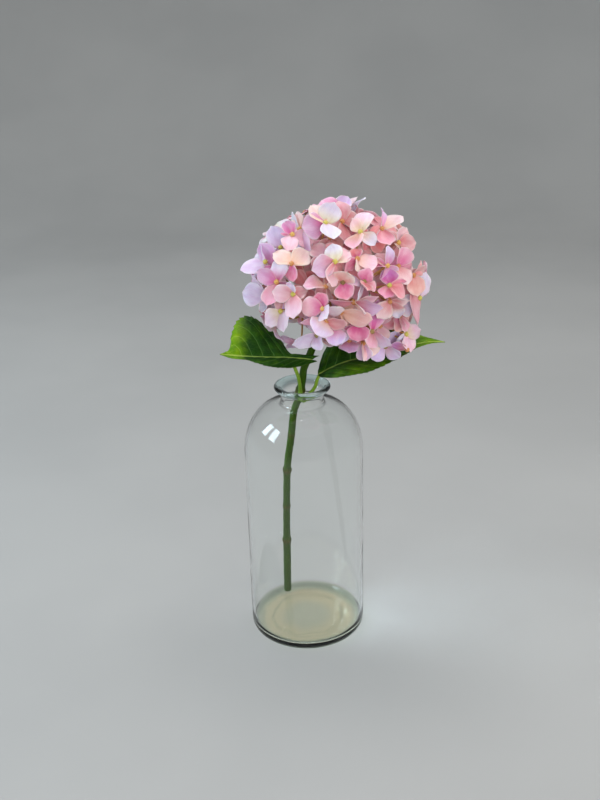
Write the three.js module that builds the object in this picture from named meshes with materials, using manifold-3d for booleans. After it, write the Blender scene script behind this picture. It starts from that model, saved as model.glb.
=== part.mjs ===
// A single cut mophead hydrangea standing in a clear glass bottle vase.
// Millimetres, +Z up, origin at the centre of the jar's base on the resting surface.
// The jar holds the stem; the stem carries two leaves and, at its top, a whorl of
// rays; each ray carries forked sprigs of pedicels that end in four-petalled florets.
import * as THREE from "three";
import { mergeVertices } from "three/addons/utils/BufferGeometryUtils.js";
import Module from "manifold-3d";

const wasm = await Module();
wasm.setup();

// ---- driving dimensions -------------------------------------------------
const JAR_RADIUS = 55; // body, outside
const JAR_HEIGHT = 252.3; // to the top of the rim
const JAR_WALL = 2.6; // body wall
const JAR_FLOOR = 5; // glass under the inside, near the wall
const SHOULDER_START = 188; // height where the straight body ends
const SHOULDER_TOP = 236; // height where the shoulder meets the neck
const NECK_RADIUS = 19.84; // neck, outside
const NECK_WALL = 2.8;
const RIM_RADIUS = 25.7; // flared lip, outside
const JAR_SEGMENTS = 32;
const STEM_RADIUS = 3.4;
const HUB_RADIUS = 4.6; // swelling at the top of the stem where the rays leave
const RAY_RADIUS = 1.7;
const RAY_KNOB_RADIUS = 3.2; // swelling at the end of a ray where the sprigs leave
const PEDICEL_RADIUS = 0.9;
const BEAD_RADIUS = 2.5; // eye of a floret
const PETAL_THICKNESS = 0.9;
const PAIR_RISE = 0.55; // half the step between a floret's two pairs of petals
const LEAF_THICKNESS = 1.1;
const PETIOLE_RADIUS = 1.7;
const GAP = 0.3; // clearance between pieces that touch
const SIMPLIFY = 0.25; // facets flatter than this are merged

// ---- growth tables, millimetres ----------------------------------------
// Centreline of the stem, from its cut foot on the jar's floor to the hub.
const STEM = [[-20.3,39.8,8.3],[-20,36.2,30.5],[-19.6,32.6,52.8],[-19.3,29.5,72.1],[-18.8,25.5,97.3],[-18,21.5,121.7],[-17,17.7,145.6],[-16.4,15.8,157.2],[-14.7,13.2,173.3],[-12.6,11,186.9],[-10.7,8.6,201.8],[-9.3,6.5,215],[-7.4,4.8,225.8],[-4.8,3.3,234.8],[-2.5,2.2,241.7],[.5,1.5,255.7],[1.9,1,266.3],[6.8,1,277.7],[11.5,1,289.9],[17,1,302.9],[26,2,319]];
const HUB = [26,2,319];
// Far end of each ray.
const RAY_TIPS = [[4.3,7.9,330.8],[40.7,-23.4,344.8],[23.6,25.5,327],[28.6,-27.7,326.4],[26,-3.3,357],[47.5,-8.8,315.5],[53.4,-7.1,339.6],[10.6,-18.4,342.9],[46.8,20.9,337.4]];
// Leaves, from base to tip: midrib, far margin and near margin at each station.
const LEAF_LEFT = [
  [[9.3,-9,278.2],[16,-6,280.9],[14,-13,277.8]],
  [[-.4,-9.6,279.9],[-3.9,-4.6,282.6],[2.1,-19.6,277.3]],
  [[-11.8,-10.1,281.5],[-10.8,-1.1,282.4],[-11,-27.1,278.7]],
  [[-25.1,-10.7,282.1],[-18,11.3,289],[-24.8,-29.7,280.5]],
  [[-37.4,-11.2,282.9],[-30.4,21.8,299.6],[-36.9,-26.2,282.5]],
  [[-47.9,-11.8,283.9],[-43.6,24.2,309.8],[-47.5,-20.8,283.8]],
  [[-55.7,-12.3,284.9],[-54.7,18.7,308.9],[-55.5,-18.3,284]],
  [[-62.7,-12.9,286],[-60.4,6.1,300.1],[-62.5,-16.9,285.1]],
  [[-67.9,-13.4,286.9],[-62.8,-6.4,289.2],[-67.7,-15.4,286.7]],
  [[-71.5,-14,287.8],[-71.5,-14,287.8],[-71.5,-14,287.8]]
];
const LEAF_RIGHT = [
  [[14,-9,263.8],[14.7,-5,267],[16,-13,263.5]],
  [[21.5,-7.9,267.5],[16.6,10.1,272.2],[24.5,-23.9,266.2]],
  [[29.6,-6.8,271.1],[21.7,21.2,277],[33.9,-31.8,269.8]],
  [[40.4,-5.7,274.7],[32.2,32.3,285.3],[44.1,-35.7,273.2]],
  [[52,-4.6,277],[48.3,40.4,296.2],[55.3,-35.6,276]],
  [[65.4,-3.5,279.7],[67.9,43.5,303.3],[66.9,-30.5,278.8]],
  [[78.8,-2.4,282.6],[85.2,41.6,301.5],[78.5,-25.4,281.2]],
  [[91.3,-1.3,285.2],[98.1,31.7,295.4],[90.4,-19.3,284.1]],
  [[102.9,-.2,287.5],[108.4,16.8,289.8],[101.9,-9.2,286.9]],
  [[115.5,.9,288.7],[118.9,6.9,289],[115.1,-2.1,288.3]],
  [[128.4,2,287.9],[128.4,2,287.9],[128.4,2,287.9]]
];
// Petioles, from the node on the stem to the midrib.
const PETIOLE_LEFT = [[-1.9,-4.4,244.4],[-2,-5.6,251.3],[-3.3,-8,262],[-5.8,-9.6,270.3],[-9.2,-9.9,279.9]];
const PETIOLE_RIGHT = [[1.6,-3.4,240],[6.7,-5.6,244.7],[11.5,-7.8,252.3],[13.4,-8.8,259],[15.7,-8.6,264.2]];
// Sprigs: the ray that carries each, then its florets as centre, axis, eye and
// petals. A petal is its tip, its facing, its width, belly, cup and colour.
const SPRIGS = [
  [0, [
    [.3,-12.4,297.2,-.114,-.444,-.889,"o",[[15.4,-1.8,295.6,.111,-.3,-.947,17.9,2.2,-.7,"Ky"],[9.5,-28.3,304.6,-.101,-.466,-.879,19.4,.2,1.4,"W0"],[-17.4,-17.8,305.3,-.239,-.486,-.841,19.1,.7,1.4,"Vr"],[-9.8,2.3,288.3,-.05,-.541,-.84,19.1,1.5,-.1,"Vm"]]],
    [-25.4,-22.3,319.8,-.937,-.084,-.34,"y",[[-28.2,-39.1,328.5,-.93,-.036,-.365,17.6,.9,1.3,"Pr"],[-28,-13.6,335.9,-.986,.012,-.164,17.3,1.1,.1,"Pm"],[-21.4,-5.5,311.2,-.918,.019,-.395,18.8,1,1.2,"Pc"],[-14.3,-31.1,304.3,-.844,-.176,-.506,19.2,1.8,.9,"Ly"]]]
  ]],
  [0, [
    [-31.3,-5.8,352.8,-.965,.223,.14,"g",[[-23.5,9.2,341,-.894,.447,-.024,18.9,1.8,-.9,"Kc"],[-39.3,-12.5,335.2,-.908,.288,.303,18.8,2.3,1.1,"Py"],[-35.6,-21.6,361.9,-.946,.31,.092,17.3,1.5,1.6,"Kr"],[-30.9,1.2,370.8,-.987,.155,-.042,18.6,1.1,-0,"Km"]]]
  ]],
  [0, [
    [-29.4,43.5,355.6,-.638,.67,.38,"o",[[-30.9,29.3,369.8,-.657,.565,.498,17,2.3,1.8,"Vr"],[-15.8,53.7,364.6,-.697,.629,.343,18.3,.3,.1,"Vc"],[-26.9,50.8,338.8,-.624,.747,.229,18.8,.4,.7,"Wm"],[-43.4,31.1,346,-.743,.59,.316,18.7,1.7,2.3,"P0"]]],
    [-39.1,22.1,337.3,-.932,.304,-.198,"o",[[-34.9,28,320.5,-.949,.283,-.137,18.6,1.4,-.3,"Vm"],[-40.6,3.7,331.4,-.955,.16,-.248,17.3,.6,2.4,"Vm"],[-38.6,14.5,355.8,-.976,.193,.102,18.8,.3,1,"Vr"],[-34.5,38,345.7,-.918,.357,-.171,19.1,2.3,.3,"V0"]]]
  ]],
  [0, [
    [-23.1,13.9,386.8,-.633,-.097,.768,"o",[[-36.2,14.7,369.2,-.8,-.091,.593,18,2,.4,"Wm"],[-23.5,-7.5,388.1,-.637,.06,.768,18.1,1.9,-.9,"Wc"],[-6.5,13.7,397.8,-.552,-.099,.828,19.3,2.1,-.6,"Wy"],[-22.5,34.4,386.8,-.634,.017,.773,18,1.5,-.4,"Wm"]]],
    [-27.5,18.7,360.4,-.953,.271,.138,"g",[[-34.2,.9,361.4,-.924,.357,.134,17.8,2.3,.2,"Vc"],[-22.5,18.6,378.4,-.927,.273,.257,19.2,1.8,.7,"V0"],[-18,34.9,357,-.85,.518,.093,17,2.3,.1,"Vc"],[-34.5,19.1,342,-.897,.273,.348,18.8,.8,2.2,"V0"]]],
    [-14.9,41.5,378.3,-.52,.379,.765,"y",[[-30.1,28.3,377.6,-.433,.461,.775,21.4,.5,.1,"Km"],[-5.5,27.5,389.7,-.489,.332,.807,20.8,2,2.5,"Km"],[-.2,56.1,382.6,-.56,.342,.755,19.7,1.1,1.7,"Kr"],[-28.1,56.3,368.5,-.395,.233,.889,19,.9,-.7,"Kr"]]]
  ]],
  [0, [
    [-28.1,14.4,312.7,-.755,.304,-.581,"g",[[-13.3,15.6,300.6,-.612,.322,-.722,17,1.9,.7,"Wr"],[-28,-3.4,307.6,-.761,.172,-.625,18,1.2,.8,"Wm"],[-36.1,9.5,328,-.891,.244,-.384,16.7,.5,-.8,"Km"],[-25,31.5,317.8,-.754,.309,-.579,17.8,2.1,-.3,"Wr"]]],
    [-22,43.3,324.6,-.839,.504,-.206,"g",[[-32.7,27.2,327.2,-.832,.515,-.208,17.5,2.1,.7,"Wr"],[-19.8,46.3,343.2,-.834,.552,.01,16.5,2.2,-.1,"Pr"],[-9.5,55.8,324.5,-.691,.69,-.214,16.5,1.1,1.2,"Py"],[-22.7,39.9,306.4,-.842,.535,-.07,18.3,.7,-.6,"Wm"]]]
  ]],
  [1, [
    [70.4,-60.8,377.2,.453,-.703,.548,"g",[[73.4,-56.3,392.7,.776,-.63,.031,15.8,.5,-0,"Lm"],[56.8,-59.7,377.2,-.024,-.352,.936,13,1.6,2,"Hm"],[63.1,-50.8,385.3,.219,-.516,.828,14.2,.8,1.6,"Dr"],[74.2,-50.8,363.4,.583,-.724,-.369,18,1,1,"Lm"]]],
    [80,-48.6,373.4,.621,-.705,.343,"o",[[87.9,-44.6,388,.525,-.85,-.047,16.4,1.2,2.1,"Km"],[87.9,-56.7,359.6,.539,-.555,.634,17.1,1.8,-.4,"Pr"],[71.8,-32.7,370.9,-.518,-.131,.846,17.5,1,1,"Km"],[92,-34.5,367.6,.785,-.579,.219,16.2,1,1,"Km"]]]
  ]],
  [1, [
    [71.8,-64.1,361.9,.415,-.858,.301,"y",[[71.7,-55.2,372.6,-.096,-.764,.638,19.1,-.2,3,"Mm"],[68,-72.2,353.2,.056,-.742,.668,14.8,-.2,-0,"Kr"],[85.9,-59.3,365.5,.392,-.69,-.608,11.1,.3,-.8,"Kr"],[84.8,-65,352.2,.491,-.519,.7,15.6,1.7,1.5,"Er"]]],
    [72.7,-65,349.1,.193,-.918,-.347,"o",[[88,-65.5,348,-.069,-.762,-.644,14.8,-.2,1,"Cr"],[83.1,-66.7,342.6,-.477,-.643,-.599,11.2,1,-.1,"Dr"],[71.2,-47.9,351.9,.461,-.104,.881,16.7,1,1,"Cr"],[62.2,-69,336.3,.215,-.969,.123,15.7,1,1,"Cr"]]],
    [78.7,-53.6,341.9,.504,-.861,.066,"o",[[80.4,-62.4,334,-.183,-.674,.715,11.5,-.5,-.5,"Wc"],[71.6,-55.9,331.6,.605,-.756,-.251,12.2,.8,1.5,"Ec"],[76.6,-34.6,343.1,.792,.046,.609,17.5,1,1,"Wc"],[94.5,-45.8,339.3,.451,-.889,.079,17.9,1,1,"Wc"]]]
  ]],
  [1, [
    [49.5,-49,402.1,.093,-.632,.769,"y",[[42.8,-47.6,412.9,.413,-.836,.361,12.3,.6,-.5,"Py"],[56.7,-37.4,416.2,-.414,-.592,.692,17.5,1.3,-.2,"Py"],[43.1,-62.1,391.8,-.565,-.321,.76,17.1,1,2.6,"Kc"],[61.4,-56.9,393.6,.3,-.448,.842,16,-.5,2.2,"Wc"]]],
    [58.3,-37.7,396.1,.297,-.63,.717,"g",[[65.5,-28.3,402.7,-.448,-.26,.856,13,-.1,-.6,"Rr"],[54.8,-41.5,384.7,.694,-.72,.028,12,-.6,.2,"Rr"],[46,-25.4,392.5,-.631,-.441,.638,16,1,1,"Rr"],[69.6,-31.9,381.3,.599,-.787,.146,18.1,1,1,"Rr"]]],
    [67.9,-34.3,400.8,.467,-.547,.694,"o",[[69.7,-21.5,415.5,.859,-.432,.275,11.3,1.3,1,"Vm"],[86.7,-24.9,407.6,-.202,-.271,.941,17.5,1.6,-.1,"Cc"],[73.2,-45.7,389.5,.233,-.63,.741,16.2,.2,0,"Kr"],[63.2,-37.8,390.2,.572,-.82,.016,11.7,1.9,2.8,"Vr"]]]
  ]],
  [1, [
    [56.8,-41.3,357,.362,-.854,.374,"g",[[44.4,-37.7,370.5,.275,-.835,.476,16,.9,1.2,"Rr"],[41.2,-49,348.1,.264,-.91,.319,17.9,.6,2.2,"K0"],[69.4,-42.9,344.9,.306,-.849,.43,16.5,2.1,2.2,"R0"],[71.6,-35.5,367,.196,-.944,.264,16.5,1.5,-.9,"D0"]]],
    [46.3,-44.2,374.1,.011,-.869,.494,"g",[[29,-43.4,380.6,.128,-.882,.454,16.1,1.6,-.3,"Dm"],[40.9,-55.4,359.8,.051,-.797,.602,17.1,1,1.1,"R0"],[63.5,-43.2,365.9,.242,-.883,.401,18.6,.4,-.9,"R0"],[54.6,-35.6,387.6,.031,-.85,.526,17.7,.9,0,"Em"]]]
  ]],
  [1, [
    [34.4,-74.8,368.6,-.035,-.933,.359,"b",[[37.2,-84.8,380.9,-.308,-.77,-.559,18.8,-.5,2.2,"Cr"],[37.1,-83.4,356.4,-.098,-.827,.554,17.1,1.3,2.2,"Hm"],[49.8,-69.7,367.9,.13,-.251,.959,15.6,1.4,.1,"Vr"],[26,-64.4,357.4,-.55,-.775,-.31,15.7,1,1,"Cr"]]],
    [51.2,-72.3,368.2,.413,-.847,.335,"e",[[54.9,-76.2,379.5,-.262,-.936,-.235,15.4,1,.4,"Hm"],[42.9,-85.5,357.7,.868,-.491,-.069,11,1.3,.2,"L0"],[52,-85.2,363.5,.565,-.253,.785,13.2,1.5,.7,"Rr"],[59.8,-74.7,360.1,.552,-.438,.709,11.6,.8,1.7,"Kr"]]]
  ]],
  [1, [
    [28.4,-70.1,384.2,.082,-.851,.519,"y",[[27,-60.6,396.3,-.285,-.769,.572,14.8,.3,-.5,"Wy"],[40.6,-64,390.7,-.135,-.586,.799,14.5,.2,.6,"Py"],[23.9,-79.8,366.7,.765,-.626,.15,17.5,-.3,-.7,"Pr"],[10.4,-80.2,381,.401,-.834,.381,17.9,.9,2.9,"Vr"]]],
    [46.1,-65.2,384.8,.323,-.789,.523,"o",[[34.3,-71.3,378.2,.578,-.729,-.367,14.3,0,-.4,"Km"],[62,-65.5,378.7,.284,-.557,.78,16.3,.4,1,"Pc"],[44.2,-57.1,390.8,-.203,-.619,.758,11.2,.1,1.4,"Rm"],[47.2,-74.1,376.7,.818,-.331,.47,11,1,-0,"Cr"]]]
  ]],
  [2, [
    [2.5,65.2,368.4,-.179,.96,.215,"y",[[20.3,63.6,371.7,.037,.964,.262,17,.7,2.2,"Wm"],[5.3,74,352.5,-.223,.87,.44,16.7,1.9,1.3,"Wy"],[-14.5,60.4,362.5,-.324,.931,.168,17.4,1.4,1.6,"Wr"],[.7,63.8,388.2,-.167,.984,.056,16.6,.4,.3,"Wc"]]],
    [-12,60.5,346.5,-.603,.797,.021,"y",[[3.3,69,355.6,-.515,.854,.076,17.5,.7,1.1,"Wy"],[-5.9,66.5,328.9,-.615,.787,.053,18.6,2.4,2,"Vm"],[-24.7,52.1,336.8,-.576,.816,.042,16.6,1.4,1.1,"Wr"],[-23,56.6,362.6,-.508,.85,-.136,18.5,1.7,1.4,"Wr"]]]
  ]],
  [2, [
    [30.2,20.2,292.7,.394,.193,-.899,"o",[[23.2,37,291.3,.433,.104,-.895,17.4,1.5,-.7,"Rc"],[45.3,31.3,299.5,.319,.138,-.938,19.4,2.2,1.4,"Rr"],[37.6,3.6,295.1,.451,.074,-.889,17.5,2.1,.8,"Rc"],[15,11.8,288,.244,.11,-.964,19.4,1.4,1.2,"Ry"]]],
    [-.2,40.5,303.6,-.502,.259,-.825,"y",[[10.2,25.6,297.2,-.404,.109,-.908,17.5,1,1.4,"Vr"],[-18.6,30.8,306.2,-.316,.37,-.874,19.1,.4,.6,"Ly"],[-10.7,56.3,312.8,-.462,.196,-.865,20,.8,.9,"Lm"],[11.8,50.7,293.9,-.686,.126,-.717,20,2.1,1.3,"Lr"]]],
    [30.4,44.7,313.4,.142,.652,-.745,"g",[[18.3,32.5,300.6,.139,.65,-.747,19.3,1.8,-.1,"Rm"],[12.8,55.6,313.5,.338,.549,-.765,20.7,.7,1.4,"Rm"],[39.5,52.1,330.4,.297,.807,-.51,18.5,.7,-.7,"Rc"],[48.8,38.7,304.9,-.068,.741,-.668,17.9,1.2,2.5,"Rc"]]]
  ]],
  [2, [
    [9,67.2,331,-.577,.721,-.383,"o",[[8.3,55.6,314.4,-.582,.676,-.452,18.8,1.3,2.3,"Wm"],[-8.2,60.8,336.7,-.44,.785,-.436,16.5,2.2,1.8,"Wc"],[11.6,78.5,345.7,-.586,.69,-.426,17.2,.4,.9,"Wr"],[24.9,76.9,323.4,-.604,.705,-.371,16.8,1,-.6,"Wy"]]],
    [51.4,64.3,323.8,.261,.625,-.736,"o",[[31.7,67.6,321.3,.2,.637,-.745,19,.9,1.1,"Dc"],[49.4,79,337.5,.255,.679,-.689,21.6,1.5,2.2,"D0"],[71.6,62.3,331.2,.325,.62,-.714,21.4,1.4,1.4,"C0"],[53.4,51.8,305.9,.246,.806,-.538,20.8,.9,1.3,"Dc"]]]
  ]],
  [2, [
    [41.5,71.4,364.5,.362,.893,.268,"g",[[60,64.3,369.7,.283,.927,.246,19.5,1.3,1.7,"Cr"],[48.7,78,348.3,.284,.835,.47,19.3,1,-.4,"Rm"],[22.8,81.9,362.2,.446,.85,.28,18.2,2.2,-.8,"Cc"],[34.3,68.6,383.3,.363,.893,.267,19.1,.6,-.9,"Cc"]]],
    [32.5,61,342.8,.015,.991,-.134,"o",[[50.1,62.3,351.9,-0,.99,-.142,19.8,.3,2.4,"Cc"],[41.5,55,324.2,.082,.959,-.271,20.5,.7,-.2,"Cr"],[15.6,56.5,335.5,-.166,.963,-.215,20.2,1.3,2,"Cr"],[22.2,64.7,359.7,.047,.982,-.186,20.4,1.2,1.9,"Cm"]]]
  ]],
  [3, [
    [28.6,-71.9,330.5,-.029,-.983,.181,"o",[[28,-83.4,318.8,-.021,-.71,.704,17.5,-.4,1.2,"Lr"],[20.2,-58.7,323.4,-.616,-.642,-.456,16.7,1,1,"Lr"],[32.8,-67.8,314.8,.035,-.969,-.244,17.5,1,1,"Lr"],[39.5,-59.6,336.2,.607,-.707,.362,16.4,1,1,"Lr"]]],
    [13.2,-68,322.7,-.249,-.944,-.215,"e",[[-7,-70.9,316.1,.236,-.919,-.317,17.5,1.5,1.8,"L0"],[16,-76.8,312.4,-.662,-.652,.371,13.3,1.5,1,"L0"],[14,-49.3,323.9,-.957,.024,.288,17.7,1,1,"L0"],[14,-61.7,338.1,-.122,-.916,.381,16.2,1,1,"L0"]]]
  ]],
  [3, [
    [21.1,-66.7,362.8,-.24,-.889,.391,"o",[[3.1,-69.6,366.2,.218,-.217,.952,17.5,1.8,1.8,"Kc"],[14.5,-69.4,353.8,-.294,-.83,.474,11.1,1.5,1.7,"Dr"],[24.9,-69.8,352.8,-.733,-.678,-.061,10.7,-.2,.9,"Dr"],[27.6,-49.1,363.5,.615,-.256,.746,17.5,1,1,"Kc"]]],
    [18.1,-79.4,349,-.272,-.962,.003,"g",[[.3,-77.5,350.9,-.082,-.977,.195,17.3,.7,0,"Pm"],[35.5,-82.8,348.4,-.169,-.738,-.653,17,1.9,-.6,"W0"],[20.8,-94.7,346.1,-.827,-.237,.509,15.2,.2,1.2,"W0"],[14.4,-78,362.3,-.222,-.974,.038,13.4,-.5,-.4,"Hm"]]],
    [20.4,-78.5,338.1,-.017,-.982,-.191,"o",[[11.9,-95.6,333.8,.478,-.429,.767,21.6,1.3,.5,"Lc"],[-.4,-76.4,338,-.067,-.728,-.683,14.7,-.2,2.5,"Km"],[37.1,-81.1,336.9,-.172,-.842,-.511,16.3,1.2,2,"Dr"],[25.8,-61.2,340.9,.642,-.315,.699,16.7,1,1,"Lc"]]]
  ]],
  [3, [
    [17.4,-29.8,304.9,-.012,-.201,-.98,"g",[[8.9,-45.2,314.7,-.153,-.468,-.871,19.5,1.6,1.9,"Lc"],[-1.2,-19.7,305.4,-.107,-.15,-.983,18.7,.7,.3,"Vm"],[23.9,-9.2,303.6,.029,-.072,-.997,17.8,1.1,2,"L0"],[35.4,-36,303.5,-.13,-.162,-.978,18.3,1.3,1.3,"Lc"]]],
    [13.1,-44.7,338.8,-.129,-.989,.072,"g",[[11.1,-47.6,320.8,-.118,-.978,.171,17.5,.9,-.4,"Vr"],[30,-45.8,340.3,-.069,-.995,.077,17.9,1.1,.4,"Vm"],[11.4,-39.7,355.8,-.151,-.952,.265,16.3,1.9,.1,"V0"],[-5,-44.5,337.5,-.017,-.997,.08,15.6,.4,-.1,"Dr"]]]
  ]],
  [3, [
    [46.4,-71,332.7,.108,-.974,.199,"o",[[45.7,-82.7,320.7,-.041,-.715,.697,19.2,.6,1.3,"Hm"],[54.7,-55.1,327.7,.786,-.516,-.341,15.8,1,1,"Hm"],[30.6,-60.3,332.5,-.559,-.828,.03,17.6,1,1,"Hm"],[39.7,-66.1,317.7,-.06,-.955,-.289,17.2,1,1,"Hm"]]],
    [57.8,-70.3,325.7,.316,-.934,-.168,"e",[[63.2,-62.3,349.4,.528,-.834,.162,17.5,.5,2.4,"Mm"],[71.9,-78.1,315.2,-.646,-.666,-.373,17.5,-.2,1.5,"Lr"],[53.9,-81.4,315.2,.73,-.59,.344,15.1,.5,1.1,"Pr"],[48.3,-55.3,319.4,-.56,-.595,-.577,17.4,1,1,"Mm"]]]
  ]],
  [3, [
    [39.6,-60.1,313.9,.083,-.988,.132,"o",[[38.9,-72.9,306.8,-.019,-.48,.877,18.7,1.7,-.6,"Vr"],[50.1,-43.7,309.6,.692,-.56,-.457,16.5,1,1,"Vr"],[25.1,-50.6,320,-.521,-.849,.083,16.3,1,1,"Vr"],[35.4,-43.1,316.9,-.943,-.268,.198,17.7,1,1,"Vr"]]],
    [51.3,-57.9,311,.3,-.931,-.21,"o",[[51.1,-67.7,298.4,.854,-.418,.309,13.3,1.7,.5,"Cr"],[54.8,-61.7,297.3,-.475,-.873,.115,14.1,1,.8,"L0"],[56.4,-40.1,310.2,.86,-.268,-.434,15.6,1,1,"Cr"],[64.7,-48.9,300,.334,-.886,-.323,16.7,1,1,"Cr"]]]
  ]],
  [3, [
    [43,-76.1,352.6,-.023,-.96,-.278,"o",[[65.8,-80.1,348.3,-.236,-.858,-.456,17.5,1.5,2.1,"Vr"],[22.3,-76.2,354.9,-.071,-.714,-.697,12.8,1.1,2.6,"Kr"],[53.4,-86.9,347.6,-.743,-.519,-.422,9.2,1.4,.2,"Cc"],[62.2,-74.5,356.2,.183,-.72,-.67,14.7,1.1,.4,"Pc"]]],
    [32.6,-76,344.5,-.141,-.967,-.211,"o",[[56.9,-82.8,338.6,-.331,-.877,-.349,17.5,.9,2.1,"Ec"],[27.8,-64.2,332.9,-.331,-.727,-.602,17.3,1,1,"Ec"],[39.7,-59,352.2,.467,-.521,.715,15.9,1,1,"Ec"],[43.8,-63.4,336.3,.614,-.735,-.286,18,1,1,"Ec"]]]
  ]],
  [4, [
    [1.5,-30.2,401.1,-.641,-.512,.572,"g",[[6.5,-45.9,379.6,-.746,-.608,.27,17.5,.1,-.7,"V0"],[-.6,-20.4,413.8,-.762,-.567,.313,15.5,1.7,.7,"Pc"],[-5.2,-16.6,412.6,-.91,-.412,-.037,9.4,1.2,-.2,"W0"],[9.5,-17.6,390.6,.881,-.457,.121,16.8,1,1,"V0"]]],
    [22.1,-41.7,408.4,.008,-.628,.778,"y",[[3.1,-40.7,405.7,-.083,-.97,.229,25.2,1.7,-.1,"Vm"],[29.5,-33.5,422.6,.088,-.879,.468,18.3,-.5,-.2,"Wy"],[28.1,-62.4,400.8,.228,-.277,.933,17.5,.3,.9,"W0"],[10.1,-30.1,420.3,.295,-.518,.803,17.5,1.8,1.8,"Cc"]]],
    [25.9,-33,394.1,-.005,-.683,.731,"o",[[18.2,-36.5,383.5,-.241,-.857,.455,13,-.4,-.3,"Dr"],[35.5,-36,384.5,.401,-.677,.617,13.3,-.5,2.4,"Er"],[27.3,-14.7,394.6,.001,-.031,1,18.4,1,1,"Dr"],[28,-21.8,378.6,.146,-.811,-.566,17.2,1,1,"Dr"]]]
  ]],
  [4, [
    [2.5,-1.3,397.8,-.601,.159,.783,"y",[[-1.3,-17.8,392.4,-.679,-.081,.73,18.4,1.3,-.2,"Kr"],[15.2,-7.4,409.8,-.633,.175,.754,16.9,1.4,1.9,"Kr"],[11.6,15.4,393.9,-.482,.44,.758,17.5,1.1,1.3,"K0"],[-8.8,4.3,383.3,-.727,.218,.652,19.1,1,-0,"Kr"]]],
    [26.8,-9.6,393.7,.166,-.755,.634,"e",[[35.7,4.9,404.1,.233,-.657,.717,16.2,1.1,1.1,"Rm"],[9.6,-9.1,403.4,.298,-.767,.568,17.7,1.2,-.9,"E0"],[19.8,-19.2,378.9,.102,-.857,.505,17.6,.8,1.4,"E0"],[44.4,-11.3,386.7,.175,-.756,.631,16.9,1.5,2.4,"Kr"]]]
  ]],
  [4, [
    [6.8,43.9,397.5,-.323,.304,.896,"o",[[20.9,60.4,398.2,-.355,.267,.896,19.3,.3,1.5,"Kr"],[-10.1,53.6,387.8,-.333,.31,.891,20,.9,1.1,"Ky"],[-3.3,23.9,395.3,-.427,.118,.896,19.3,2,1.6,"Kr"],[21.9,32.6,406,-.297,.285,.911,20.8,1.5,0,"Kr"]]],
    [27.6,17.5,408.3,-.148,.182,.972,"y",[[15.4,29.6,397.2,-.365,.398,.842,20.4,1.5,.7,"Dc"],[14,3.8,409.3,-.127,.203,.971,19.7,2.4,2,"K0"],[40.1,1,415.3,-.2,.25,.947,18.3,1.8,.8,"C0"],[41.6,33.6,408.4,-.179,.147,.973,19.4,.6,-.9,"P0"]]]
  ]],
  [4, [
    [43,-20,406.3,-.115,-.363,.925,"o",[[47.7,-10.2,414,-.198,-.541,.817,12.8,-.5,-.9,"Rr"],[55.4,-6.5,422.6,-.665,-.238,.708,9.5,1.6,1.4,"W0"],[46.8,-12.4,391,.597,-.768,-.233,17.3,1,1,"Rr"],[25.8,-15.7,403.9,-.267,-.69,.673,18.2,1,1,"Rr"]]],
    [56.2,7,398.6,.54,.146,.829,"y",[[41.9,-5.9,405.7,.42,.033,.907,19,.9,2,"Dy"],[71.4,-7,395.9,.409,.278,.869,18.7,1.9,1.8,"Dm"],[63.9,20.2,383.9,.672,.339,.658,18.9,2.2,-.1,"Cm"],[40.7,20.5,403.7,.467,.213,.858,19,2,-0,"Dm"]]]
  ]],
  [4, [
    [31.5,-20.2,411.7,-.062,-.386,.92,"g",[[19.6,-9.7,420.9,-.036,-.683,.729,17.5,.3,-.9,"Km"],[42,-9.4,421.5,-.119,-.603,.789,17.2,-.2,3,"Vm"],[50.4,-8,419.7,-.27,-.201,.942,13.3,.6,1.8,"Cc"],[32.8,-12.1,395.6,.16,-.887,-.434,16.6,1,1,"Km"]]],
    [35.8,-33.1,407.1,.395,-.482,.782,"o",[[38.2,-49,390.5,.725,-.444,.526,17.5,.2,.3,"Dr"],[22.1,-21.8,400.7,-.674,-.513,.532,16.8,1,1,"Dr"],[52.8,-23.3,404.5,.46,-.624,.631,15.9,1,1,"Dr"],[33.7,-27.4,423.4,.056,-.939,.338,16.3,1,1,"Dr"]]]
  ]],
  [5, [
    [91.3,9.3,313.3,.856,.093,-.509,"o",[[87.2,26.4,303.8,.895,-.031,-.445,19.2,.3,-0,"Cy"],[103.1,20.5,324.3,.717,-.069,-.694,18.3,1.4,1,"Cc"],[99.4,-5.2,319.8,.805,.196,-.56,18.6,1.6,1,"Cm"],[84.4,-1.7,299.1,.861,.102,-.497,19.1,.8,1.2,"Em"]]]
  ]],
  [5, [
    [89.7,-26.9,306.8,.727,-.671,-.147,"y",[[102.4,-27.4,310.7,-.134,-.936,.326,13.9,-.2,-1,"Py"],[94.3,-34.6,294,.593,-.58,.558,15,-.4,.8,"P0"],[82.5,-32.1,299.8,.559,-.829,.037,10.9,1.9,-.8,"W0"],[88.2,-19.5,311.5,.441,-.414,.796,8.6,2,1.1,"P0"]]],
    [90.5,-33.7,295.6,.316,-.635,-.705,"o",[[76.3,-34.1,299.8,-.144,-.81,-.568,14.2,-.3,.7,"Mr"],[84.1,-17,294.5,.11,-.022,-.994,18,1,1,"Mr"],[87.7,-18.7,305.6,.596,-.368,.714,16.8,1,1,"Mr"],[83.7,-16.9,299,.031,.208,-.978,15.8,1,1,"Mr"]]]
  ]],
  [5, [
    [72,-29.6,297.4,.355,-.731,-.583,"e",[[61,-39.7,289.1,.623,-.774,.116,16.4,.7,-.5,"L0"],[85.5,-33.5,288.3,-.506,-.741,-.442,16,.7,2.4,"Lr"],[66.9,-11.3,298.9,.189,.134,-.973,15.8,1,1,"L0"],[85.6,-21.7,308.5,.568,-.816,-.108,18.1,1,1,"L0"]]],
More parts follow.
